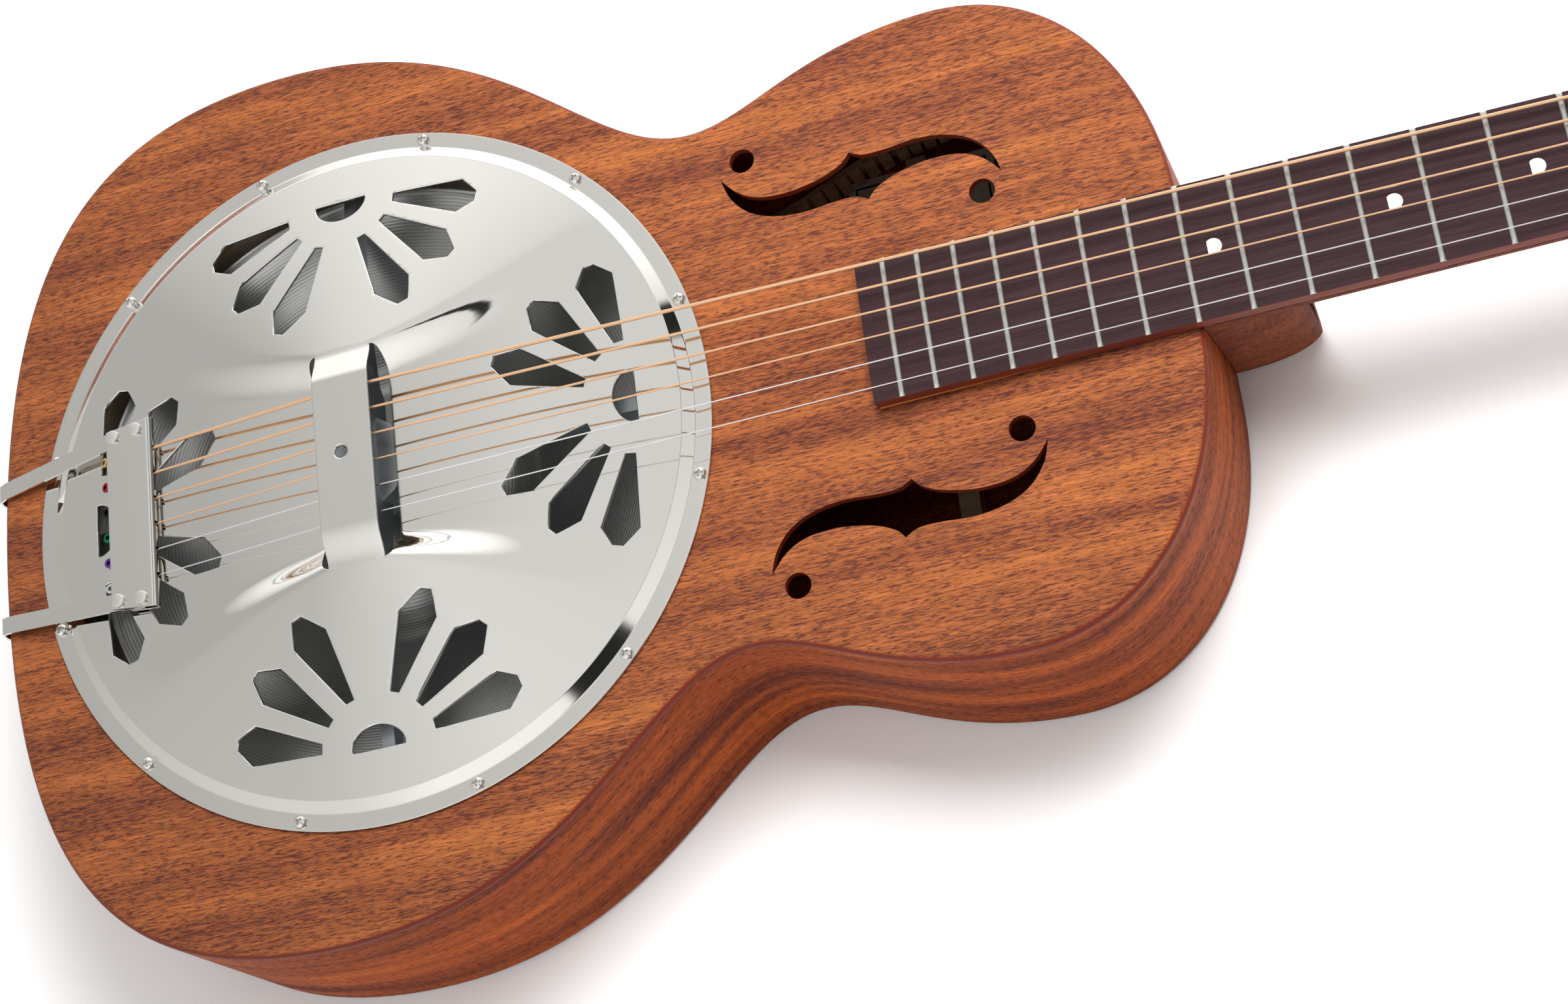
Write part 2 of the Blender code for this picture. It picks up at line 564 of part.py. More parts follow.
# ---- Tailpiece ----
def make_tailpiece(nickel, steel):
    rear, front = TAILPIECE_REAR, TAILPIECE_FRONT
    high, low = TOP_Z + TAILPIECE_HIGH, TOP_Z + TAILPIECE_LOW
    middle = (high + low) / 2
    outer_r, inner_r = (high - low) / 2, (high - low) / 2 - SHEET
    outer = [(front - outer_r + outer_r * sin(a), middle + outer_r * cos(a))
             for a in (0.0, pi / 5, 2 * pi / 5, 3 * pi / 5, 4 * pi / 5, pi)]
    inner = [(front - outer_r + inner_r * sin(a), middle + inner_r * cos(a))
             for a in (pi, 3 * pi / 4, pi / 2, pi / 4, 0.0)]
    profile = [(rear, high)] + outer + [(rear + 6.0, low), (rear + 6.0, low + SHEET)]
    profile += inner + [(rear, high - SHEET)]
    plate = bmesh.new()
    flare = TAILPIECE_FLARE / (front - rear)
    loft(plate, [[(x, side * (TAILPIECE_HALF + flare * (x - rear)), z) for x, z in profile]
                 for side in (-1, 1)])
    made = solid("tailpiece", plate, nickel)
    slots = bmesh.new()
    for i in range(len(STRING_NAMES)):
        y = string_y(i, BRIDGE_PITCH)
        box(slots, (front - 2.2, y - 1.1, TOP_Z + 9.4), (front + 1.0, y + 1.1, TOP_Z + 11.5))
    boolean(made, guide("tailpiece_slots", slots))

    over = TAIL_X - GAP
    path = [(rear + 13.0, high - SHEET - GAP), (rear - 1.0, high - SHEET - GAP - 0.4),
            (over + 3.0, TOP_Z + 3.0), (over - 0.2, TOP_Z + 1.6), (over - 1.2, TOP_Z - 1.6),
            (over - 1.2, TOP_Z - 22.0)]
    hanger = None
    for name, side in (("bass", 1), ("treble", -1)):
        arm = bmesh.new()
        sections = []
        for i, (x, z) in enumerate(path):
            x0, z0 = path[max(i - 1, 0)]
            x1, z1 = path[min(i + 1, len(path) - 1)]
            long = hypot(x1 - x0, z1 - z0)
            nx, nz = -(z1 - z0) / long, (x1 - x0) / long
            centre = side * (27.5 + 5.5 * (x - over) / (rear - over))
            if x < over + 1.0:
                centre = side * 27.5
            left, right = centre - STRAP_HALF, centre + STRAP_HALF
            sections.append([(x, left, z), (x, right, z), (x + nx * SHEET, right, z + nz * SHEET),
                             (x + nx * SHEET, left, z + nz * SHEET)])
        loft(arm, sections)
        if hanger is None:
            hanger = solid("tail_hanger", arm, nickel)
        else:
            boolean(hanger, guide("tail_hanger_arm", arm), "UNION")
    yoke = bmesh.new()
    outline = [(-32.0, TOP_Z - 19.0), (-24.0, TOP_Z - 19.0), (-13.0, PIN_Z + 9.0), (13.0, PIN_Z + 9.0),
               (24.0, TOP_Z - 19.0), (32.0, TOP_Z - 19.0), (16.0, PIN_Z - 9.0), (-16.0, PIN_Z - 9.0)]
    loft(yoke, [[(x, y, z) for y, z in outline] for x in (over - 1.4, over)])
    boolean(hanger, guide("tail_hanger_yoke", yoke), "UNION")
    boolean(hanger, guide("tail_hanger_hole", pin_drill(over, 12.0)))

    pin = turned(bmesh.new(), [(2.6, -16.0), (3.6, 1.8), (6.2, 2.0), (6.6, 4.0), (4.2, 6.5), (4.6, 10.0),
                               (6.8, 12.5), (5.8, 15.0), (2.4, 16.5)], 12)
    bmesh.ops.rotate(pin, verts=pin.verts, matrix=Matrix.Rotation(-pi / 2, 3, "Y"))
    bmesh.ops.translate(pin, verts=pin.verts, vec=(over - GAP, 0.0, PIN_Z))
    solid("end_pin", pin, steel)


# ---- Neck ----
def neck_section(x):
    """One loop across the neck: down its bass side, then up its treble side."""
    top = board_z(x) - BOARD_THICK - GAP
    along = (NUT_X - x) / (NUT_X - NECK_X)
    half = board_half(x) - 0.1
    shaft = 15.5 + 2.0 * along
    in_heel = x < HEEL_FRONT
    bottom = HEEL_LOW if in_heel else top - shaft
    if x > NUT_X:
        bottom += 0.45 * (x - NUT_X)
    levels = 9
    side = []
    for k in range(levels):
        z = top - (top - bottom) * (k / (levels - 1)) ** (1.3 if in_heel else 0.75)
        depth = (top - z) / shaft
        wide = half * sqrt(max(1.0 - depth ** 2.2, 0.0)) if depth < 1.0 else 0.0
        if in_heel:
            out = (x - NECK_X) / (HEEL_FRONT + 0.3 - NECK_X)
            plan = sqrt(max(1.0 - out ** 2.4, 0.0))
            wide = max(wide, (25.5 - 15.5 * (top - z) / (top - HEEL_LOW)) * plan)
        side.append((max(wide, 1.2), z))
    loop = [(x, y, z) for y, z in side]
    return loop + [(x, -y, z) for y, z in reversed(side)]


def make_neck(wood, overlay_wood, board_wood, bone, shim_wood, steel):
    face = NECK_X + GAP
    places = [face, 321.0, 328.0, 335.0, 341.0, 345.0, HEEL_FRONT - 0.2, HEEL_FRONT + 2.0, 356.0, 420.0,
              520.0, 600.0, NUT_X, NUT_X + 12.0]
    neck = solid("neck", loft(bmesh.new(), [neck_section(x) for x in places]), wood)

    head = bmesh.new()
    half = [(1.0, 22.5), (12.0, 24.0), (26.0, 31.5), (90.0, 33.0), (150.0, 35.5), (170.0, 36.0),
            (178.0, 24.0)]
    outline = half + [(183.0, 0.0)] + [(u, -v) for u, v in reversed(half)]
    low, high = -OVERLAY_THICK - GAP - HEAD_THICK, -OVERLAY_THICK - GAP
    loft(head, [[head_point(u, v, w) for u, v in outline] for w in (low, high)])
    boolean(neck, guide("headstock", head), "UNION")

    overlay = bmesh.new()
    loft(overlay, [[head_point(u, v, w) for u, v in outline] for w in (-OVERLAY_THICK, 0.0)])
    overlay = solid("headstock_overlay", overlay, overlay_wood)

    bores = bmesh.new()
    for side in (1, -1):
        for u in POST_STEPS:
            ring = [(u + POST_HOLE_RADIUS * cos(2 * pi * i / 10),
                     side * POST_SIDE + POST_HOLE_RADIUS * sin(2 * pi * i / 10)) for i in range(10)]
            loft(bores, [[head_point(a, b, w) for a, b in ring] for w in (-25.0, 5.0)])
    bore_cutter = guide("post_bores", bores)
    boolean(neck, bore_cutter)
    boolean(overlay, bore_cutter)

    channel, rod = bmesh.new(), bmesh.new()
    for shape, room, up in ((channel, 0.0, 3.0), (rod, GAP, -2 * GAP)):
        half_wide = ROD_HALF - room
        sections = []
        for x in (330.0 + room, 620.0 - room):
            under = board_z(x) - BOARD_THICK
            low, high = under - 8.5 + room, under + up
            sections.append([(x, -half_wide, high), (x, half_wide, high), (x, half_wide, low),
                             (x, -half_wide, low)])
        loft(shape, sections)
    boolean(neck, guide("truss_rod_channel", channel))
    solid("truss_rod", rod, steel)

    board = bmesh.new()
    steps = [(BOARD_END_X, 0.0)]
    foot, crown = 0.5 * FRET_WIDE, 0.3 * FRET_WIDE
    for number in range(FRETS, 0, -1):
        x = fret_x(number)
        steps += [(x - foot, 0.0), (x - crown, FRET_HIGH), (x + crown, FRET_HIGH), (x + foot, 0.0)]
    steps.append((NUT_X - GAP, 0.0))
    sections = []
    for x, up in steps:
        y, z = board_half(x), board_z(x)
        sections.append([(x, -y, z - BOARD_THICK), (x, y, z - BOARD_THICK), (x, y, z + up), (x, -y, z + up)])
    solid("fretboard", loft(board, sections), board_wood)

    shim = bmesh.new()
    sections = []
    for x in (BOARD_END_X + 0.5, 278.0):
        y, high = board_half(x) - 0.4, board_z(x) - BOARD_THICK - GAP
        sections.append([(x, -y, TOP_Z + GAP), (x, y, TOP_Z + GAP), (x, y, high), (x, -y, high)])
    solid("fretboard_shim", loft(shim, sections), shim_wood)

    nut = bmesh.new()
    low = board_z(NUT_X) - BOARD_THICK
    high = board_z(NUT_X) + NUT_PROUD
    profile = [(NUT_X, low), (NUT_X + NUT_THICK, low), (NUT_X + NUT_THICK, high - 1.4), (NUT_X + 1.0, high),
               (NUT_X, high)]
    loft(nut, [[(x, y, z) for x, z in profile] for y in (-NUT_HALF, NUT_HALF)])
    solid("nut", nut, bone)


# ---- Strings and tuners ----
def make_strings(bronze, steel):
    nut_top = board_z(NUT_X) + NUT_PROUD
    for i, name in enumerate(STRING_NAMES):
        radius = STRING_RADII[i]
        lane = string_y(i, BRIDGE_PITCH)
        at_nut = string_y(i, NUT_PITCH)
        side, step = post_place(i)
        end = head_point(step, side * (POST_SIDE - POST_RADIUS - GAP - radius), 7.5)
        nut_z = nut_top + radius + GAP
        path = [(-98.0, lane, TOP_Z + TAIL_STRING_Z), (-84.0, lane, TOP_Z + TAIL_STRING_Z),
                (0.0, lane, TOP_Z + SADDLE_STRING_Z + 0.1 + radius - STRING_RADII[0] + GAP),
                (NUT_X + 0.5, at_nut, nut_z), (NUT_X + 1.5, at_nut, nut_z), tuple(end)]
        solid(f"string_{name}", tube(bmesh.new(), path, radius, 6), bronze if i < 4 else steel)


def post_place(number):
    """A string's side of the headstock, and how far along it its post stands."""
    if number < 3:
        return 1, POST_STEPS[number]
    return -1, POST_STEPS[5 - number]


def head_solid(name, bm, finish, origin_uvw):
    """An object drawn in (u, v, w) about its own origin, then laid on the tilted headstock."""
    made = solid(name, bm, finish)
    made.matrix_world = Matrix.Translation(head_point(*origin_uvw) * MM) @ HEAD_TURN
    return made


def make_tuners(steel, button_finish):
    back = -OVERLAY_THICK - 2 * GAP - HEAD_THICK
    plate_low = back - PLATE_THICK
    worm_w = plate_low - GAP - WORM_RADIUS
    for side_name, side in (("bass", 1), ("treble", -1)):
        plate = bmesh.new()
        box(plate, (28.0, -9.0, plate_low), (153.0, 8.0, back))
        plate = head_solid(f"tuner_plate_{side_name}", plate, steel, (0.0, side * POST_SIDE, 0.0))
        ears = []
        cuts = bmesh.new()
        for u in POST_STEPS:
            turned(cuts, [(POST_HOLE_RADIUS, plate_low - 2.0), (POST_HOLE_RADIUS, back + 2.0)], 10, (u, 0.0))
            worm_u = u + WORM_AHEAD
            for v in (-7.4, 6.2):
                ears.append(box(bmesh.new(), (worm_u - 3.6, v, worm_w - 3.6),
                                (worm_u + 3.6, v + PLATE_THICK, back - 0.4)))
            bore = [[(worm_u + 2.2 * cos(2 * pi * i / 10), v, worm_w + 2.2 * sin(2 * pi * i / 10))
                     for i in range(10)] for v in (-9.0, 9.0)]
            loft(cuts, bore)
        for k, ear in enumerate(ears):
            made = head_solid(f"tuner_ear_{side_name}_{k}", ear, steel, (0.0, side * POST_SIDE, 0.0))
            boolean(plate, made, "UNION")
        boolean(plate, head_solid(f"tuner_cuts_{side_name}", cuts, steel, (0.0, side * POST_SIDE, 0.0)))

    for i, name in enumerate(STRING_NAMES):
        side, u = post_place(i)
        gear_high = plate_low - GAP
        post = turned(bmesh.new(), [(GEAR_RADIUS, gear_high - 3.2), (GEAR_RADIUS, gear_high),
                                    (POST_RADIUS, gear_high), (POST_RADIUS, 12.5), (3.7, 13.2),
                                    (3.7, 14.6), (2.4, 15.6)], 12)
        head_solid(f"tuner_post_{name}", post, steel, (u, side * POST_SIDE, 0.0))
        sections = []
        for v, ru, rw in ((-8.2, 1.8, 1.8), (-5.7, 1.8, 1.8), (-5.7, WORM_RADIUS, WORM_RADIUS),
                          (5.7, WORM_RADIUS, WORM_RADIUS), (5.7, 1.8, 1.8), (18.0, 1.8, 1.8),
                          (18.6, 3.0, 3.0), (21.0, 7.2, 3.9),
                          (27.0, 8.6, 4.4), (32.5, 7.4, 3.9), (34.5, 3.5, 2.0)):
            sections.append([(ru * cos(2 * pi * k / 10), side * v, rw * sin(2 * pi * k / 10))
                             for k in range(10)])
        head_solid(f"tuner_button_{name}", loft(bmesh.new(), sections), button_finish,
                   (u + WORM_AHEAD, side * POST_SIDE, worm_w))


def main():
    for old in list(bpy.data.objects):
        bpy.data.objects.remove(old)
    material("wire", (0.5, 0.5, 0.5), 0.5)
    mahogany = material("mahogany", (0.30, 0.10, 0.035), 0.45)
    lining_wood = material("lining_wood", (0.35, 0.20, 0.10), 0.7)
    rosewood = material("rosewood", (0.045, 0.018, 0.014), 0.45)
    shim_wood = material("shim_wood", (0.50, 0.18, 0.04), 0.5)
    bone = material("bone", (0.80, 0.76, 0.66), 0.4)
    saddle_wood = material("maple", (0.55, 0.38, 0.20), 0.5)
    nickel = material("nickel", (0.72, 0.70, 0.66), 0.08, 1.0)
    steel = material("plated_steel", (0.62, 0.61, 0.60), 0.25, 1.0)
    aluminium = material("spun_aluminium", (0.55, 0.57, 0.58), 0.3, 1.0)
    cast = material("cast_aluminium", (0.22, 0.25, 0.27), 0.4, 1.0)
    bronze = material("phosphor_bronze", (0.72, 0.42, 0.22), 0.3, 1.0)
    button_finish = material("button_cream", (0.78, 0.72, 0.60), 0.35)

    make_body(mahogany, lining_wood)
    make_resonator(aluminium, cast, saddle_wood, steel)
    make_coverplate(nickel)
    make_cover_screws(steel)
    make_tailpiece(nickel, steel)
    make_neck(mahogany, rosewood, rosewood, bone, shim_wood, steel)
    make_strings(bronze, steel)
    make_tuners(steel, button_finish)


main()
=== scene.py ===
"""The looks of a twelve-fret resonator guitar with a wooden body, around its fixed frame.

Pieces are drawn in millimetres and stored in metres. +X runs from the tail to the headstock,
+Y to the bass side and +Z out of the soundboard.
"""

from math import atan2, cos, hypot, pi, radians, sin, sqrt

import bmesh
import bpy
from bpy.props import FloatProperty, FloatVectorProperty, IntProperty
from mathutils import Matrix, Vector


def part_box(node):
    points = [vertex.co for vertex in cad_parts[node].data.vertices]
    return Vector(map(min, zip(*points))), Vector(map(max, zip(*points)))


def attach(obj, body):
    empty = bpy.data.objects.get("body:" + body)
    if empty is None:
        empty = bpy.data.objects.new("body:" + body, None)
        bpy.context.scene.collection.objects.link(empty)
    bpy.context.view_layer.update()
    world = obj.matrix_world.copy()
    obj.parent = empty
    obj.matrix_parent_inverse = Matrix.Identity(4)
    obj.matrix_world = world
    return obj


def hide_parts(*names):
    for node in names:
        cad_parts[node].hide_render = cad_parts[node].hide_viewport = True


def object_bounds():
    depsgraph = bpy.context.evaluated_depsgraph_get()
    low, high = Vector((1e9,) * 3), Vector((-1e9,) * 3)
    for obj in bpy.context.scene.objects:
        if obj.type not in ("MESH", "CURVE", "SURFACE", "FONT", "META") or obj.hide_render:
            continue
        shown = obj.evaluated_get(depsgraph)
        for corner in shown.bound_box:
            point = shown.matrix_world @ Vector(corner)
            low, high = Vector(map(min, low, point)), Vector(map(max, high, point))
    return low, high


bl_info = {
    "name": "Resonator Guitar",
    "version": (1, 0, 0),
    "blender": (4, 5, 0),
    "location": "View3D > Sidebar > Guitar",
    "description": "Builds the pieces and finishes of a resonator guitar around its frame",
    "category": "Add Mesh",
}

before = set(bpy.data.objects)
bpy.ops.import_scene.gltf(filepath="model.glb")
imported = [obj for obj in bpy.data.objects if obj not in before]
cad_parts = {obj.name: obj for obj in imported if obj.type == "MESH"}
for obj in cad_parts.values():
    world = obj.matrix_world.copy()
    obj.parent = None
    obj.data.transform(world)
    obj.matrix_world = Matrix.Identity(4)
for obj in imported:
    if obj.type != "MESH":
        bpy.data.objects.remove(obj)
cad_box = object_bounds()

MM = 0.001


def lowest(node):
    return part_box(node)[0] / MM


def highest(node):
    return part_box(node)[1] / MM


# ---- Places taken from the frame, in millimetres ----
TOP = highest("top_plate").z
TOP_UNDER = lowest("top_plate").z
BACK_FACE = highest("back_plate").z
TAIL_X = lowest("top_plate").x
NECK_X = highest("top_plate").x
LOWER_HALF = highest("top_plate").y
COVER_RADIUS = highest("coverplate").x
SEAT = lowest("coverplate").z
BOARD_END_X = lowest("fretboard").x
NUT_X = lowest("nut").x
NUT_HALF = highest("nut").y
NUT_FRONT = highest("nut").x
BOARD_END_HALF = highest("fretboard").y
TAIL_REAR = lowest("tailpiece").x
TAIL_FRONT = highest("tailpiece").x
PIN_Z = (lowest("end_pin").z + highest("end_pin").z) / 2

# ---- Sizes that the frame's boxes don't give, in millimetres ----
SCALE_LENGTH = 635.0
BRIDGE_OFFSET = 3.5
FRETS = 19
WAIST = (141.0, 102.0)
LOWER_BOUT_X = -27.0
UPPER_BOUT = (236.0, 125.2)
SHOULDER_Y = 24.0
SIDE_THICK = 2.4
WELL_INNER = 126.4
FLANGE_INNER = 131.6
STEP_INNER = 126.5
STEP_HIGH = 3.4
CHANNEL_HIGH = 9.6
LOBE_SLOPE = 0.152
COVER_THICK = 1.0
PALM_FLAT_HALF = 29.0
PALM_HIGH = 20.4
WINDOW_MIDDLE_X = 1.1
WINDOW_HALF_X = 15.4
WINDOW_HALF_Y = 43.0
SCREW_CIRCLE = 134.4
SCREW_COUNT = 12
FIRST_SCREW_ANGLE = 15.0
BOARD_THICK = 5.6
BOARD_AT_JOINT = 5.8
NECK_PITCH = 0.019
CAMBER = 0.6
HEEL_FRONT = 348.0
HEEL_LOW = 4.0
HEAD_ANGLE = radians(14.0)
HEAD_THICK = 13.5
OVERLAY_THICK = 2.0
POST_SIDE = 21.5
POST_STEPS = (40.0, 85.0, 130.0)
POST_RADIUS = 3.1
GEAR_RADIUS = 7.0
WORM_RADIUS = 2.6
GAP = 0.3
STRING_NAMES = ("low_e", "a", "d", "g", "b", "high_e")
STRING_RADII = (0.67, 0.53, 0.43, 0.34, 0.27, 0.22)
BRIDGE_PITCH = 10.4
NUT_PITCH = 7.3
SADDLE_STRING_Z = 17.9
TAIL_STRING_Z = 10.4


# ---- Settings that a user would change ----
class GuitarWoods(bpy.types.PropertyGroup):
    """Colours of the woods."""

    light: FloatVectorProperty(
        name="Light grain", description="The brightest grain of the soundboard",
        subtype="COLOR", min=0.0, max=1.0, default=(0.335, 0.104, 0.031))
    dark: FloatVectorProperty(
        name="Dark grain", description="The darker bands of the soundboard",
        subtype="COLOR", min=0.0, max=1.0, default=(0.19, 0.052, 0.022))
    pores: FloatVectorProperty(
        name="Pores", description="The filled pores, short streaks along the grain",
        subtype="COLOR", min=0.0, max=1.0, default=(0.052, 0.015, 0.014))
    edge: FloatVectorProperty(
        name="Edge", description="The colour where the wood faces sideways, along its rounded edge",
        subtype="COLOR", min=0.0, max=1.0, default=(0.15, 0.022, 0.010))
    board: FloatVectorProperty(
        name="Fretboard", description="The fretboard's ground colour",
        subtype="COLOR", min=0.0, max=1.0, default=(0.030, 0.0145, 0.0165))
    edge_round: FloatProperty(
        name="Edge round", description="Radius of the soundboard's rounded edge",
        subtype="DISTANCE", unit="LENGTH", min=0.0005, max=0.0028, default=0.0024)


class GuitarMetals(bpy.types.PropertyGroup):
    """Colours and polish of the metals."""

    nickel: FloatVectorProperty(
        name="Nickel", description="The polished plate's colour",
        subtype="COLOR", min=0.0, max=1.0, default=(0.79, 0.775, 0.74))
    polish: FloatProperty(
        name="Polish", description="Roughness of the polished nickel",
        min=0.0, max=1.0, default=0.045)
    sheet: FloatProperty(
        name="Sheet", description="Thickness of the coverplate's sheet",
        subtype="DISTANCE", unit="LENGTH", min=0.0005, max=0.0015, default=0.001)
    gear_teeth: IntProperty(
        name="Gear teeth", description="Teeth on each tuner's gear", min=8, max=24, default=18)


class GuitarStage(bpy.types.PropertyGroup):
    """The camera, the lights and the floor."""

    camera_place: FloatVectorProperty(
        name="Camera", description="Where the camera stands", subtype="XYZ", unit="LENGTH",
        default=(0.4064, -0.4154, 0.9612))
    camera_turn: FloatVectorProperty(
        name="Camera turn", description="The camera's rotation", subtype="EULER", unit="ROTATION",
        default=(radians(19.607), radians(18.510), radians(-7.417)))
    lens: FloatProperty(
        name="Lens", description="Focal length in millimetres", min=20.0, max=200.0, default=63.87)
    floor: FloatVectorProperty(
        name="Floor", description="The floor's colour",
        subtype="COLOR", min=0.0, max=1.0, default=(0.97, 0.97, 0.97))
    key_power: FloatProperty(
        name="Key light", description="Power of the large overhead light in watts",
        min=0.0, max=500.0, default=11.5)
    fill_power: FloatProperty(
        name="Fill light", description="Power of the light on the treble side in watts",
        min=0.0, max=500.0, default=5.0)


# ---- Drawing helpers, all in millimetres ----
def new_verts(made):
    return [item for item in made["geom"] if isinstance(item, bmesh.types.BMVert)]


def slab(bm, outline, low, high):
    """A flat outline, extruded from one height to another."""
    face = bm.faces.new([bm.verts.new((x, y, low)) for x, y in outline])
    grown = bmesh.ops.extrude_face_region(bm, geom=[face])
    bmesh.ops.translate(bm, verts=new_verts(grown), vec=(0.0, 0.0, high - low))
    return bm


def drawn(bm, sections, capped=True):
    """Extrude a loop of points from each section to the next."""
    index = bm.verts.layers.int.get("index") or bm.verts.layers.int.new("index")
    first = [bm.verts.new(point) for point in sections[0]]
    for i, vert in enumerate(first):
        vert[index] = i
    edges = [bm.edges.new((a, b)) for a, b in zip(first, first[1:] + first[:1])]
    start = edges
    for section in sections[1:]:
        grown = bmesh.ops.extrude_edge_only(bm, edges=edges)
        verts = new_verts(grown)
        for vert in verts:
            vert.co = section[vert[index]]
        fresh = set(verts)
        edges = [e for e in grown["geom"] if isinstance(e, bmesh.types.BMEdge)
                 and e.verts[0] in fresh and e.verts[1] in fresh]
    if capped:
        bmesh.ops.contextual_create(bm, geom=start)
        bmesh.ops.contextual_create(bm, geom=edges)
    return bm


def turned(bm, profile, steps, closed=False, centre=(0.0, 0.0)):
    """Spin a row of (radius, height) points a full turn about an upright axis."""
    row = [bm.verts.new((centre[0] + r, centre[1], z)) for r, z in profile]
    pairs = list(zip(row, row[1:])) + ([(row[-1], row[0])] if closed else [])
    lines = [bm.edges.new(pair) for pair in pairs]
    bmesh.ops.spin(bm, geom=row + lines, cent=(*centre, 0.0), axis=(0.0, 0.0, 1.0), angle=2 * pi,
                   steps=steps, use_merge=True)
    return bm


def ring(radius, count, start=0.0):
    return [(radius * cos(start + 2 * pi * i / count), radius * sin(start + 2 * pi * i / count))
            for i in range(count)]


def rod(bm, points, radius, sides=12):
    """A round rod through points, square to its path at each of them."""
    sections = []
    side = Vector((0.0, 1.0, 0.0))
    for i, point in enumerate(points):
        ahead = Vector(points[min(i + 1, len(points) - 1)]) - Vector(points[max(i - 1, 0)])
        ahead.normalize()
        side = (side - ahead * side.dot(ahead)).normalized()
        up = ahead.cross(side)
        sections.append([Vector(point) + (side * c + up * s) for c, s in ring(radius, sides)])
    return drawn(bm, sections)


def bevelled(bm, width, angle=30.0, segments=2, keep=None):
    """Round every edge sharper than an angle, or only those that pass a test."""
    edges = [e for e in bm.edges if e.is_manifold and e.calc_face_angle(0.0) > radians(angle)]
    if keep:
        edges = [e for e in edges if keep(e)]
    bmesh.ops.bevel(bm, geom=edges, offset=width, offset_type="OFFSET", segments=segments, profile=0.5,
                    affect="EDGES", material=-1, clamp_overlap=True)
    return bm


def piece(name, bm, finish, crease=35.0, upward=False):
    """Turn a bmesh drawn in millimetres into an object at the origin."""
    bmesh.ops.remove_doubles(bm, verts=bm.verts, dist=0.0005)
    bmesh.ops.recalc_face_normals(bm, faces=bm.faces)
    if upward and sum(face.normal.z for face in bm.faces) < 0.0:
        bmesh.ops.reverse_faces(bm, faces=bm.faces)
    bmesh.ops.scale(bm, verts=bm.verts, vec=(MM, MM, MM))
    mesh = bpy.data.meshes.new(name)
    bm.to_mesh(mesh)
    bm.free()
    mesh.materials.append(finish)
    mesh.shade_smooth()
    mesh.set_sharp_from_angle(angle=radians(crease))
    made = bpy.data.objects.new(name, mesh)
    bpy.context.scene.collection.objects.link(made)
    return made


def carved(made, shape, operation="DIFFERENCE", crease=35.0):
    """Cut a shape out of a piece, or join it on, and leave a plain mesh."""
    tool = piece("tool", shape, made.data.materials[0])
    step = made.modifiers.new("Carve", "BOOLEAN")
    step.object = tool
    step.operation = operation
    step.solver = "EXACT"
    return settled(made, crease, tool)


def settled(made, crease=35.0, tool=None):
    """Turn a piece's modifiers into its plain mesh."""
    graph = bpy.context.evaluated_depsgraph_get()
    mesh = bpy.data.meshes.new_from_object(made.evaluated_get(graph))
    made.modifiers.clear()
    made.data = mesh
    mesh.set_sharp_from_angle(angle=radians(crease))
    if tool:
        bpy.data.objects.remove(tool)
    return made


def softened(node, name, finish, width, angle=30.0, segments=2):
    """A copy of a frame node with merged corners and rounded edges."""
    bm = bmesh.new()
    bm.from_mesh(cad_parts[node].data)
    bmesh.ops.scale(bm, verts=bm.verts, vec=(1 / MM, 1 / MM, 1 / MM))
    bmesh.ops.remove_doubles(bm, verts=bm.verts, dist=0.005)
    bmesh.ops.dissolve_limit(bm, angle_limit=radians(1.0), verts=bm.verts, edges=bm.edges)
    bevelled(bm, width, angle, segments)
    return piece(name, bm, finish)


def fitted(made, body, slot, *nodes):
    """Say which nodes a piece stands for and which body it moves with; the slot argument is not used."""
    flat = made.modifiers.new("Flat faces stay flat", "WEIGHTED_NORMAL")
    flat.keep_sharp = True
    if nodes:
        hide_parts(*nodes)
    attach(made, body)
    return made


# ---- The lines of the body ----
def bezier(a, b, c, d, steps):
    """Points along a cubic curve, without its last one."""
    points = []
    for i in range(steps):
        t = i / steps
        s = 1.0 - t
        weights = (s ** 3, 3 * s * s * t, 3 * s * t * t, t ** 3)
        points.append(tuple(sum(w * p[k] for w, p in zip(weights, (a, b, c, d))) for k in (0, 1)))
    return points


def half_outline(steps=34):
    """The bass half of the outline, from the tail's centre line to the neck's."""
    lx, ly = LOWER_BOUT_X, LOWER_HALF
    (wx, wy), (ux, uy) = WAIST, UPPER_BOUT
    tail, shoulder = (TAIL_X, 0.0), (NECK_X, SHOULDER_Y)
    points = bezier(tail, (TAIL_X, 0.70 * ly), (lx - 0.70 * (lx - TAIL_X), ly), (lx, ly), steps + 8)
    points += bezier((lx, ly), (lx + 100.0, ly), (wx - 42.0, wy), (wx, wy), steps)
    points += bezier((wx, wy), (wx + 24.0, wy), (ux - 50.0, uy), (ux, uy), steps)
    points += bezier((ux, uy), (ux + 50.7, uy), (NECK_X, SHOULDER_Y + 51.7), shoulder, steps)
    return points + [shoulder, (NECK_X, 0.0)]


def moved_in(points, distance):
    """The same half outline moved inwards, its two ends kept on the centre line."""
    inner = []
    for i, (x, y) in enumerate(points):
        before = points[max(i - 1, 0)]
        after = points[min(i + 1, len(points) - 1)]
        dx, dy = after[0] - before[0], after[1] - before[1]
        if i == 0:
            dx, dy = 0.0, 1.0
        if i >= len(points) - 2:
            dx, dy = 0.0, -1.0
        long = hypot(dx, dy)
        inner.append((x + distance * dy / long, y - distance * dx / long))
    return inner


def whole_outline():
    half = half_outline()
    return half + [(x, -y) for x, y in reversed(half[1:-1])]


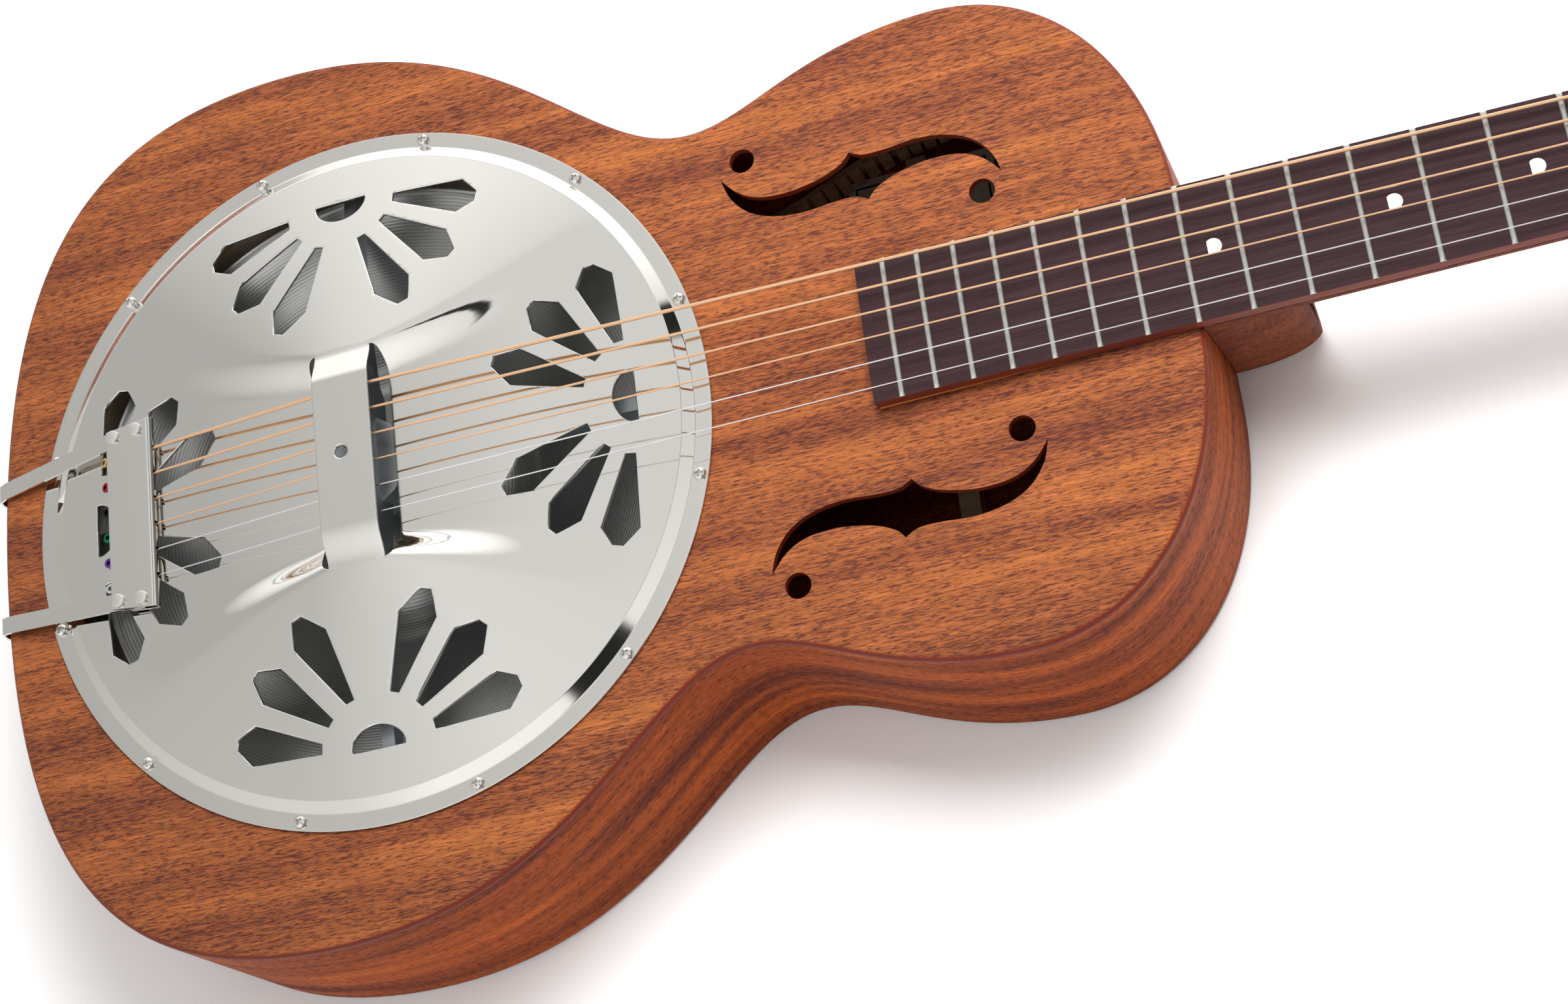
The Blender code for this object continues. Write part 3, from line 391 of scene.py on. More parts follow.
F_HOLE_CENTRE = (203.0, 65.5)
F_HOLE_OUTER = [(-2.5, 10.4), (2.5, 8.0), (10.7, 7.8), (23.0, 8.6), (34.3, 6.9), (43.4, 2.4), (49.4, -5.0),
                (52.0, -13.0)]
F_HOLE_INNER = [(52.0, -13.0), (46.0, -6.2), (38.0, -2.1), (26.4, -1.1), (14.0, -3.2), (6.0, -6.7),
                (2.5, -10.4)]
F_HOLE_DOTS = ((160.0, 84.2), (246.8, 46.5))
F_HOLE_DOT_RADIUS = 4.8


def curve_through(points, steps):
    """A smooth curve through points, without its last one."""
    ends = [points[0]] + list(points) + [points[-1]]
    made = []
    for a, b, c, d in zip(ends, ends[1:], ends[2:], ends[3:]):
        for i in range(steps):
            t = i / steps
            made.append(tuple(
                0.5 * (2 * q + (r - p) * t + (2 * p - 5 * q + 4 * r - s) * t * t
                       + (3 * q - p - 3 * r + s) * t ** 3) for p, q, r, s in zip(a, b, c, d)))
    return made


def f_hole(side):
    cx, cy = F_HOLE_CENTRE
    half = curve_through(F_HOLE_OUTER, 6) + curve_through(F_HOLE_INNER, 6)
    outline = [(cx + x, cy + y) for x, y in half] + [(cx - x, cy - y) for x, y in half]
    return [(x, side * y) for x, y in outline]


# ---- The lines of the coverplate ----
def smooth(t):
    t = min(max(t, 0.0), 1.0)
    return t * t * (3.0 - 2.0 * t)


def eased(t, ends):
    """A straight ramp from 0 to 1 with a short curve at each end."""
    if t < ends:
        return t * t / (2.0 * ends * (1.0 - ends))
    if t > 1.0 - ends:
        return 1.0 - eased(1.0 - t, ends)
    return (t - ends / 2.0) / (1.0 - ends)


def ridge_line(x):
    """How far out the lobes start, beside the lanes that the strings run in."""
    return 41.5 + 0.15 * abs(x) + 0.0024 * x * x


def cover_height(x, y):
    """The coverplate's upper face over the soundboard."""
    r = hypot(x, y)
    if r >= FLANGE_INNER - 0.01:
        return COVER_THICK
    if r > STEP_INNER:
        t = (r - STEP_INNER) / (FLANGE_INNER - STEP_INNER)
        return STEP_HIGH - (STEP_HIGH - COVER_THICK) * eased(t, 0.12)
    lane = CHANNEL_HIGH - (CHANNEL_HIGH - STEP_HIGH) * (r / STEP_INNER) ** 2.6
    lobe = STEP_HIGH + LOBE_SLOPE * (STEP_INNER - r)
    wide = 13.0 + 0.15 * max(abs(x) - 20.0, 0.0)
    return lane + (lobe - lane) * smooth((abs(y) - ridge_line(x) + wide) / wide)


def palm_height(x, y):
    """The palm rest's upper face: flat in the middle, then down to the lobes."""
    edge = cover_height(x, WINDOW_HALF_Y)
    along = (abs(y) - PALM_FLAT_HALF) / (WINDOW_HALF_Y - PALM_FLAT_HALF)
    return PALM_HIGH - (PALM_HIGH - edge) * smooth(along)


# One side of a fan, as (distance out along the fan's axis, distance to the side).
PETALS = (
    ((104.5, 22.1), (92.4, 47.8), (95.5, 55.0), (99.4, 56.0), (106.2, 50.7), (107.9, 22.6)),
    ((96.8, 16.6), (74.2, 34.6), (73.0, 44.0), (75.6, 46.5), (85.1, 43.5), (99.0, 18.6)),
    ((91.4, 7.4), (64.0, 14.8), (57.2, 24.0), (58.5, 27.8), (68.6, 28.2), (92.3, 10.4)))
MOON_FLAT = 110.4
MOON_RADIUS = 10.4


def fan_holes():
    """The outlines of one fan's six petals and its half moon, about the +X axis."""
    holes = []
    for petal in PETALS:
        holes.append([(x, y) for x, y in petal])
        holes.append([(x, -y) for x, y in petal])
    moon = [(MOON_FLAT - 0.8 * MOON_RADIUS * sin(pi * i / 24), MOON_RADIUS * cos(pi * i / 24))
            for i in range(25)]
    return holes + [moon]


# How a cut opens out at its rim: the step outward and the height against the cover (None: clear of it).
RIM_STEPS = ((0.0, None), (0.0, -0.8), (0.06, -0.5), (0.2, -0.2), (0.42, -0.03), (0.7, 0.1), (0.7, None))


def rim_cutter(bm, outline, turn):
    """A cutter for one hole whose wall flares at the sheet's face, as a punched rim does."""
    c, s = cos(turn), sin(turn)
    points = []
    for (x0, y0), (x1, y1) in zip(outline, outline[1:] + outline[:1]):
        steps = max(int(hypot(x1 - x0, y1 - y0) / 3.0), 1)
        points += [(x0 + (x1 - x0) * k / steps, y0 + (y1 - y0) * k / steps) for k in range(steps)]
    area = sum(a[0] * b[1] - b[0] * a[1] for a, b in zip(points, points[1:] + points[:1]))
    way = 1.0 if area > 0.0 else -1.0
    flared = []
    for before, point, after in zip(points[-1:] + points[:-1], points, points[1:] + points[:1]):
        dx, dy = after[0] - before[0], after[1] - before[1]
        long = hypot(dx, dy)
        flared.append((point, (way * dy / long, -way * dx / long)))
    sections = []
    for out, level in RIM_STEPS:
        section = []
        for (x, y), (nx, ny) in flared:
            x, y = x + nx * out, y + ny * out
            x, y = x * c - y * s, x * s + y * c
            z = (TOP + 30.0 if out else SEAT - 3.0) if level is None else SEAT + cover_height(x, y) + level
            section.append((x, y, z))
        sections.append(section)
    return drawn(bm, sections)


def screw_places():
    for i in range(SCREW_COUNT):
        angle = radians(FIRST_SCREW_ANGLE + i * 360.0 / SCREW_COUNT)
        yield SCREW_CIRCLE * cos(angle), SCREW_CIRCLE * sin(angle)


# ---- The lines of the neck ----
def fret_x(number):
    return SCALE_LENGTH * 2.0 ** (-number / 12.0) - BRIDGE_OFFSET


def board_z(x):
    return TOP + BOARD_AT_JOINT - NECK_PITCH * (x - NECK_X)


def board_half(x):
    return NUT_HALF + (BOARD_END_HALF - NUT_HALF) * (NUT_X - x) / (NUT_X - BOARD_END_X)


def string_y(number, pitch):
    return pitch * (2.5 - number)


def post_place(number):
    """A string's side of the headstock, and how far along it its post stands."""
    if number < 3:
        return 1, POST_STEPS[number]
    return -1, POST_STEPS[5 - number]


HEAD_FRAME = (Matrix.Translation((NUT_FRONT + 2 * GAP, 0.0, board_z(NUT_X) - 1.5))
              @ Matrix.Rotation(HEAD_ANGLE, 4, "Y"))
HEAD_BACK = -OVERLAY_THICK - 2 * GAP - HEAD_THICK
PLATE_LOW = HEAD_BACK - 1.2
WORM_W = PLATE_LOW - GAP - WORM_RADIUS
WORM_AHEAD = GEAR_RADIUS + WORM_RADIUS + GAP


def head_point(u, v, w):
    """A point on the tilted headstock: u along it, v to the bass side, w out of its face."""
    return HEAD_FRAME @ Vector((u, v, w))


# ---- Materials ----
def set_out(group, members, row):
    """Move the nodes of one effect into their frame, side by side."""
    for column, node in enumerate(members):
        node.parent = group
        node.location = (-1400 + 220 * column, 500 - 360 * row)


def mahogany(name, light, dark, pores, edge=None, along="OBJECT", turn=0.0, rough=0.38, bands=5.0,
             shine=0.16):
    """Stained mahogany: broad bands, fine streaks and short dark pores along the grain."""
    made = bpy.data.materials.new(name)
    made.use_nodes = True
    nodes, links = made.node_tree.nodes, made.node_tree.links
    nodes.clear()
    output = nodes.new("ShaderNodeOutputMaterial")
    output.label = "Surface of the piece"
    shader = nodes.new("ShaderNodeBsdfPrincipled")
    shader.label = "Satin-finished wood"
    links.new(shader.outputs["BSDF"], output.inputs["Surface"])
    place = nodes.new("ShaderNodeTexCoord")
    place.label = "Place in the wood"
    source = place.outputs["Object"]
    if along == "RUN":
        run = nodes.new("ShaderNodeAttribute")
        run.label = "Distance along the bent side"
        run.attribute_name = "run"
        height = nodes.new("ShaderNodeSeparateXYZ")
        height.label = "Height on the side"
        links.new(place.outputs["Object"], height.inputs["Vector"])
        unrolled = nodes.new("ShaderNodeCombineXYZ")
        unrolled.label = "The side laid flat"
        links.new(run.outputs["Fac"], unrolled.inputs["X"])
        links.new(height.outputs["Z"], unrolled.inputs["Y"])
        source = unrolled.outputs["Vector"]
        group = nodes.new("NodeFrame")
        group.label = "Side laid flat"
        set_out(group, [run, height, unrolled], 1)

    broad = nodes.new("ShaderNodeMapping")
    broad.label = "Stretch the bands along the grain"
    broad.inputs["Rotation"].default_value = (0.0, 0.0, turn)
    broad.inputs["Scale"].default_value = (bands, bands * 13.0, bands * 9.0)
    figure = nodes.new("ShaderNodeTexNoise")
    figure.label = "Broad bands of colour"
    figure.inputs["Scale"].default_value = 1.0
    figure.inputs["Detail"].default_value = 5.0
    figure.inputs["Roughness"].default_value = 0.62
    figure.inputs["Distortion"].default_value = 0.35
    spread = nodes.new("ShaderNodeMapRange")
    spread.label = "Contrast of the bands"
    spread.inputs["From Min"].default_value = 0.33
    spread.inputs["From Max"].default_value = 0.66
    links.new(source, broad.inputs["Vector"])
    links.new(broad.outputs["Vector"], figure.inputs["Vector"])
    links.new(figure.outputs["Fac"], spread.inputs["Value"])
    ground = nodes.new("ShaderNodeMix")
    ground.label = "Light and dark wood"
    ground.data_type = "RGBA"
    ground.inputs["A"].default_value = (*dark, 1.0)
    ground.inputs["B"].default_value = (*light, 1.0)
    links.new(spread.outputs["Result"], ground.inputs["Factor"])
    group = nodes.new("NodeFrame")
    group.label = "Bands"
    set_out(group, [place, broad, figure, spread, ground], 2)

    fine = nodes.new("ShaderNodeMapping")
    fine.label = "Stretch the streaks"
    fine.inputs["Rotation"].default_value = (0.0, 0.0, turn)
    fine.inputs["Scale"].default_value = (50.0, 1250.0, 900.0)
    streaks = nodes.new("ShaderNodeTexNoise")
    streaks.label = "Fine streaks"
    streaks.inputs["Scale"].default_value = 1.0
    streaks.inputs["Detail"].default_value = 3.0
    streaks.inputs["Roughness"].default_value = 0.7
    shade = nodes.new("ShaderNodeMapRange")
    shade.label = "Depth of the streaks"
    shade.inputs["From Min"].default_value = 0.30
    shade.inputs["From Max"].default_value = 0.70
    shade.inputs["To Min"].default_value = 0.58
    shade.inputs["To Max"].default_value = 1.22
    links.new(source, fine.inputs["Vector"])
    links.new(fine.outputs["Vector"], streaks.inputs["Vector"])
    links.new(streaks.outputs["Fac"], shade.inputs["Value"])
    toned = nodes.new("ShaderNodeVectorMath")
    toned.label = "Streaks over the bands"
    toned.operation = "SCALE"
    links.new(ground.outputs["Result"], toned.inputs[0])
    links.new(shade.outputs["Result"], toned.inputs["Scale"])
    group = nodes.new("NodeFrame")
    group.label = "Streaks"
    set_out(group, [fine, streaks, shade, toned], 3)

    short = nodes.new("ShaderNodeMapping")
    short.label = "Stretch the pores"
    short.inputs["Rotation"].default_value = (0.0, 0.0, turn)
    short.inputs["Scale"].default_value = (300.0, 2600.0, 2200.0)
    pits = nodes.new("ShaderNodeTexNoise")
    pits.label = "Pores"
    pits.inputs["Scale"].default_value = 1.0
    pits.inputs["Detail"].default_value = 2.0
    pits.inputs["Roughness"].default_value = 0.55
    clump = nodes.new("ShaderNodeMath")
    clump.label = "More pores in the dark bands"
    clump.operation = "MULTIPLY_ADD"
    clump.inputs[1].default_value = -0.10
    open_pore = nodes.new("ShaderNodeMapRange")
    open_pore.label = "Where a pore is open"
    open_pore.inputs["From Min"].default_value = 0.43
    open_pore.inputs["From Max"].default_value = 0.57
    open_pore.inputs["To Max"].default_value = 0.88
    links.new(source, short.inputs["Vector"])
    links.new(short.outputs["Vector"], pits.inputs["Vector"])
    links.new(spread.outputs["Result"], clump.inputs[0])
    links.new(pits.outputs["Fac"], clump.inputs[2])
    links.new(clump.outputs["Value"], open_pore.inputs["Value"])
    speckled = nodes.new("ShaderNodeMix")
    speckled.label = "Dark pores"
    speckled.data_type = "RGBA"
    speckled.inputs["B"].default_value = (*pores, 1.0)
    links.new(open_pore.outputs["Result"], speckled.inputs["Factor"])
    links.new(toned.outputs["Vector"], speckled.inputs["A"])
    group = nodes.new("NodeFrame")
    group.label = "Pores"
    set_out(group, [short, pits, clump, open_pore, speckled], 4)

    colour = speckled.outputs["Result"]
    # Darker where the wood faces sideways rather than up or down, which is mostly along its rounded edge.
    if edge:
        facing = nodes.new("ShaderNodeNewGeometry")
        facing.label = "Which way the wood faces"
        upright = nodes.new("ShaderNodeSeparateXYZ")
        upright.label = "How far it faces up"
        level = nodes.new("ShaderNodeMath")
        level.label = "Up or down alike"
        level.operation = "ABSOLUTE"
        faces_sideways = nodes.new("ShaderNodeMapRange")
        faces_sideways.label = "Darker where the wood faces sideways"
        faces_sideways.interpolation_type = "SMOOTHSTEP"
        faces_sideways.inputs["From Min"].default_value = 0.97
        faces_sideways.inputs["From Max"].default_value = 0.72
        edged = nodes.new("ShaderNodeMix")
        edged.label = "Darker rounded edge"
        edged.data_type = "RGBA"
        edged.inputs["B"].default_value = (*edge, 1.0)
        links.new(facing.outputs["Normal"], upright.inputs["Vector"])
        links.new(upright.outputs["Z"], level.inputs[0])
        links.new(level.outputs["Value"], faces_sideways.inputs["Value"])
        links.new(faces_sideways.outputs["Result"], edged.inputs["Factor"])
        links.new(colour, edged.inputs["A"])
        colour = edged.outputs["Result"]
        group = nodes.new("NodeFrame")
        group.label = "Edge"
        set_out(group, [facing, upright, level, faces_sideways, edged], 5)
    links.new(colour, shader.inputs["Base Color"])

    dull = nodes.new("ShaderNodeMapRange")
    dull.label = "Pores are duller"
    dull.inputs["To Min"].default_value = rough
    dull.inputs["To Max"].default_value = rough + 0.2
    sunk = nodes.new("ShaderNodeBump")
    sunk.label = "Pores sink through the satin"
    sunk.invert = True
    sunk.inputs["Strength"].default_value = 0.25
    sunk.inputs["Distance"].default_value = 0.0002
    links.new(open_pore.outputs["Result"], dull.inputs["Value"])
    links.new(dull.outputs["Result"], shader.inputs["Roughness"])
    links.new(open_pore.outputs["Result"], sunk.inputs["Height"])
    links.new(sunk.outputs["Normal"], shader.inputs["Normal"])
    shader.inputs["Specular IOR Level"].default_value = shine
    group = nodes.new("NodeFrame")
    group.label = "Satin surface"
    set_out(group, [dull, sunk], 6)
    group = nodes.new("NodeFrame")
    group.label = "Finish"
    set_out(group, [shader, output], 7)
    return made


def dark_board(name, ground, side):
    """Oiled rosewood: near black with fine streaks, redder where its side shows."""
    made = bpy.data.materials.new(name)
    made.use_nodes = True
    nodes, links = made.node_tree.nodes, made.node_tree.links
    nodes.clear()
    output = nodes.new("ShaderNodeOutputMaterial")
    output.label = "Surface of the piece"
    shader = nodes.new("ShaderNodeBsdfPrincipled")
    shader.label = "Oiled wood"
    links.new(shader.outputs["BSDF"], output.inputs["Surface"])
    place = nodes.new("ShaderNodeTexCoord")
    place.label = "Place in the wood"
    stretch = nodes.new("ShaderNodeMapping")
    stretch.label = "Stretch along the board"
    stretch.inputs["Scale"].default_value = (30.0, 1000.0, 900.0)
    streaks = nodes.new("ShaderNodeTexNoise")
    streaks.label = "Streaks"
    streaks.inputs["Scale"].default_value = 1.0
    streaks.inputs["Detail"].default_value = 6.0
    streaks.inputs["Roughness"].default_value = 0.72
    streaks.inputs["Distortion"].default_value = 0.5
    depth = nodes.new("ShaderNodeMapRange")
    depth.label = "Depth of the streaks"
    depth.inputs["From Min"].default_value = 0.32
    depth.inputs["From Max"].default_value = 0.68
    depth.inputs["To Min"].default_value = 0.6
    depth.inputs["To Max"].default_value = 1.3
    facing = nodes.new("ShaderNodeNewGeometry")
    facing.label = "Which way the wood faces"
    upright = nodes.new("ShaderNodeSeparateXYZ")
    upright.label = "How far it faces up"
    sideways = nodes.new("ShaderNodeMapRange")
    sideways.label = "The board's side"
    sideways.inputs["From Min"].default_value = 0.8
    sideways.inputs["From Max"].default_value = 0.4
    tint = nodes.new("ShaderNodeMix")
    tint.label = "Redder side"
    tint.data_type = "RGBA"
    tint.inputs["A"].default_value = (*ground, 1.0)
    tint.inputs["B"].default_value = (*side, 1.0)
    toned = nodes.new("ShaderNodeVectorMath")
    toned.label = "Streaks over the ground"
    toned.operation = "SCALE"
    raised = nodes.new("ShaderNodeBump")
    raised.label = "Open grain"
    raised.inputs["Strength"].default_value = 0.2
    raised.inputs["Distance"].default_value = 0.0002
    links.new(place.outputs["Object"], stretch.inputs["Vector"])
    links.new(stretch.outputs["Vector"], streaks.inputs["Vector"])
    links.new(streaks.outputs["Fac"], depth.inputs["Value"])
    links.new(facing.outputs["Normal"], upright.inputs["Vector"])
    links.new(upright.outputs["Z"], sideways.inputs["Value"])
    links.new(sideways.outputs["Result"], tint.inputs["Factor"])
    links.new(tint.outputs["Result"], toned.inputs[0])
    links.new(depth.outputs["Result"], toned.inputs["Scale"])
    links.new(toned.outputs["Vector"], shader.inputs["Base Color"])
    links.new(streaks.outputs["Fac"], raised.inputs["Height"])
    links.new(raised.outputs["Normal"], shader.inputs["Normal"])
    shader.inputs["Roughness"].default_value = 0.45
    shader.inputs["Specular IOR Level"].default_value = 0.16
    group = nodes.new("NodeFrame")
    group.label = "Streaks"
    set_out(group, [place, stretch, streaks, depth], 1)
    group = nodes.new("NodeFrame")
    group.label = "Colour"
    set_out(group, [facing, upright, sideways, tint, toned, raised], 2)
    group = nodes.new("NodeFrame")
    group.label = "Finish"
    set_out(group, [shader, output], 3)
    return made


def metal(name, colour, rough, spread, grain, lift, stretch=(1.0, 1.0, 1.0)):
    """A metal with a fine grain that varies its roughness and lifts its surface a little."""
    made = bpy.data.materials.new(name)
    made.use_nodes = True
    nodes, links = made.node_tree.nodes, made.node_tree.links
    nodes.clear()
    output = nodes.new("ShaderNodeOutputMaterial")
    output.label = "Surface of the piece"
    shader = nodes.new("ShaderNodeBsdfPrincipled")
    shader.label = "Metal"
    links.new(shader.outputs["BSDF"], output.inputs["Surface"])
    place = nodes.new("ShaderNodeTexCoord")
    place.label = "Place on the metal"
    scale = nodes.new("ShaderNodeMapping")
    scale.label = "Direction of the grain"
    scale.inputs["Scale"].default_value = stretch
    wear = nodes.new("ShaderNodeTexNoise")
    wear.label = "Handling marks"
    wear.inputs["Scale"].default_value = grain
    wear.inputs["Detail"].default_value = 5.0
    wear.inputs["Roughness"].default_value = 0.6
    polish = nodes.new("ShaderNodeMapRange")
    polish.label = "Polish and marks"
    polish.inputs["From Min"].default_value = 0.35
    polish.inputs["From Max"].default_value = 0.75
    polish.inputs["To Min"].default_value = rough
    polish.inputs["To Max"].default_value = rough + spread
    ripple = nodes.new("ShaderNodeBump")
    ripple.label = "Slight ripple"
    ripple.inputs["Strength"].default_value = lift
    ripple.inputs["Distance"].default_value = 0.0002
    links.new(place.outputs["Object"], scale.inputs["Vector"])
    links.new(scale.outputs["Vector"], wear.inputs["Vector"])
    links.new(wear.outputs["Fac"], polish.inputs["Value"])
    links.new(polish.outputs["Result"], shader.inputs["Roughness"])
    links.new(wear.outputs["Fac"], ripple.inputs["Height"])
    links.new(ripple.outputs["Normal"], shader.inputs["Normal"])
    shader.inputs["Base Color"].default_value = (*colour, 1.0)
    shader.inputs["Metallic"].default_value = 1.0
    group = nodes.new("NodeFrame")
    group.label = "Metal surface"
    set_out(group, [place, scale, wear, polish, ripple], 1)
    group = nodes.new("NodeFrame")
    group.label = "Finish"
    set_out(group, [shader, output], 2)
    return made


def spun_metal(name, colour):
    """Spun aluminium: fine turning rings about the cone's axis."""
    made = bpy.data.materials.new(name)
    made.use_nodes = True
    nodes, links = made.node_tree.nodes, made.node_tree.links
    nodes.clear()
    output = nodes.new("ShaderNodeOutputMaterial")
    output.label = "Surface of the piece"
    shader = nodes.new("ShaderNodeBsdfPrincipled")
    shader.label = "Spun aluminium"
    links.new(shader.outputs["BSDF"], output.inputs["Surface"])
    place = nodes.new("ShaderNodeTexCoord")
    place.label = "Place on the cone"
    turns = nodes.new("ShaderNodeTexWave")
    turns.label = "Turning rings"
    turns.wave_type = "RINGS"
    turns.rings_direction = "Z"
    turns.inputs["Scale"].default_value = 262.0
    turns.inputs["Distortion"].default_value = 0.6
    turns.inputs["Detail"].default_value = 2.0
    tone = nodes.new("ShaderNodeMapRange")
    tone.label = "Light and dark rings"
    tone.inputs["To Min"].default_value = 0.84
    tone.inputs["To Max"].default_value = 1.06
    tinted = nodes.new("ShaderNodeVectorMath")
    tinted.label = "Rings over the metal"
    tinted.operation = "SCALE"
    tinted.inputs[0].default_value = colour
    cut = nodes.new("ShaderNodeBump")
    cut.label = "Tool marks"
    cut.inputs["Strength"].default_value = 0.10
    cut.inputs["Distance"].default_value = 0.0003
    links.new(place.outputs["Object"], turns.inputs["Vector"])
    links.new(turns.outputs["Fac"], tone.inputs["Value"])
    links.new(tone.outputs["Result"], tinted.inputs["Scale"])
    links.new(tinted.outputs["Vector"], shader.inputs["Base Color"])
    links.new(turns.outputs["Fac"], cut.inputs["Height"])
    links.new(cut.outputs["Normal"], shader.inputs["Normal"])
    shader.inputs["Metallic"].default_value = 1.0
    shader.inputs["Roughness"].default_value = 0.36
    group = nodes.new("NodeFrame")
    group.label = "Spun surface"
    set_out(group, [place, turns, tone, tinted, cut], 1)
    group = nodes.new("NodeFrame")
    group.label = "Finish"
    set_out(group, [shader, output], 2)
    return made


def wound(name, colour):
    """Bronze wire wound tightly on a string's core, with painted shade between its turns."""
    made = bpy.data.materials.new(name)
    made.use_nodes = True
    nodes, links = made.node_tree.nodes, made.node_tree.links
    nodes.clear()
    output = nodes.new("ShaderNodeOutputMaterial")
    output.label = "Surface of the piece"
    shader = nodes.new("ShaderNodeBsdfPrincipled")
    shader.label = "Wound wire"
    links.new(shader.outputs["BSDF"], output.inputs["Surface"])
    run = nodes.new("ShaderNodeAttribute")
    run.label = "Distance along the string"
    run.attribute_name = "run"
    lay = nodes.new("ShaderNodeMath")
    lay.label = "Turns of the winding"
    lay.operation = "MULTIPLY"
    lay.inputs[1].default_value = 2 * pi / 0.0006
    crest = nodes.new("ShaderNodeMath")
    crest.label = "Crest of each turn"
    crest.operation = "SINE"
    # Painted shade: the colour darkens between the turns of the winding and is lightest on each crest.
    tone = nodes.new("ShaderNodeMapRange")
    tone.label = "Painted shade between the turns"
    tone.inputs["From Min"].default_value = -1.0
    tone.inputs["To Min"].default_value = 0.7
    tone.inputs["To Max"].default_value = 1.1
    tinted = nodes.new("ShaderNodeVectorMath")
    tinted.label = "Bronze"
    tinted.operation = "SCALE"
    tinted.inputs[0].default_value = colour
    links.new(run.outputs["Fac"], lay.inputs[0])
    links.new(lay.outputs["Value"], crest.inputs[0])
    links.new(crest.outputs["Value"], tone.inputs["Value"])
    links.new(tone.outputs["Result"], tinted.inputs["Scale"])
    links.new(tinted.outputs["Vector"], shader.inputs["Base Color"])
    shader.inputs["Metallic"].default_value = 0.85
    shader.inputs["Roughness"].default_value = 0.36
    group = nodes.new("NodeFrame")
    group.label = "Winding"
    set_out(group, [run, lay, crest, tone, tinted], 1)
    group = nodes.new("NodeFrame")
    group.label = "Finish"
    set_out(group, [shader, output], 2)
    return made


def mottled(name, colour, second, scale, rough, coat=0.0):
    """A plain solid with soft clouds of a second colour, such as bone, plastic, pearl or raw wood."""
    made = bpy.data.materials.new(name)
    made.use_nodes = True
    nodes, links = made.node_tree.nodes, made.node_tree.links
    nodes.clear()
    output = nodes.new("ShaderNodeOutputMaterial")
    output.label = "Surface of the piece"
    shader = nodes.new("ShaderNodeBsdfPrincipled")
    shader.label = "Plain solid"
    links.new(shader.outputs["BSDF"], output.inputs["Surface"])
    place = nodes.new("ShaderNodeTexCoord")
    place.label = "Place on the piece"
    stretch = nodes.new("ShaderNodeMapping")
    stretch.label = "Size of the clouds"
    stretch.inputs["Scale"].default_value = scale
    clouds = nodes.new("ShaderNodeTexNoise")
    clouds.label = "Clouds"
    clouds.inputs["Scale"].default_value = 1.0
    clouds.inputs["Detail"].default_value = 4.0
    blend = nodes.new("ShaderNodeMapRange")
    blend.label = "Contrast of the clouds"
    blend.inputs["From Min"].default_value = 0.38
    blend.inputs["From Max"].default_value = 0.64
    mixed = nodes.new("ShaderNodeMix")
    mixed.label = "The two colours"
    mixed.data_type = "RGBA"
    mixed.inputs["A"].default_value = (*colour, 1.0)
    mixed.inputs["B"].default_value = (*second, 1.0)
    uneven = nodes.new("ShaderNodeBump")
    uneven.label = "Slightly uneven"
    uneven.inputs["Strength"].default_value = 0.12
    uneven.inputs["Distance"].default_value = 0.0002
    links.new(place.outputs["Object"], stretch.inputs["Vector"])
    links.new(stretch.outputs["Vector"], clouds.inputs["Vector"])
    links.new(clouds.outputs["Fac"], blend.inputs["Value"])
    links.new(blend.outputs["Result"], mixed.inputs["Factor"])
    links.new(mixed.outputs["Result"], shader.inputs["Base Color"])
    links.new(clouds.outputs["Fac"], uneven.inputs["Height"])
    links.new(uneven.outputs["Normal"], shader.inputs["Normal"])
    shader.inputs["Roughness"].default_value = rough
    shader.inputs["Coat Weight"].default_value = coat
    group = nodes.new("NodeFrame")
    group.label = "Clouds"
    set_out(group, [place, stretch, clouds, blend, mixed, uneven], 1)
    group = nodes.new("NodeFrame")
    group.label = "Finish"
    set_out(group, [shader, output], 2)
    return made


FINISHES = {}


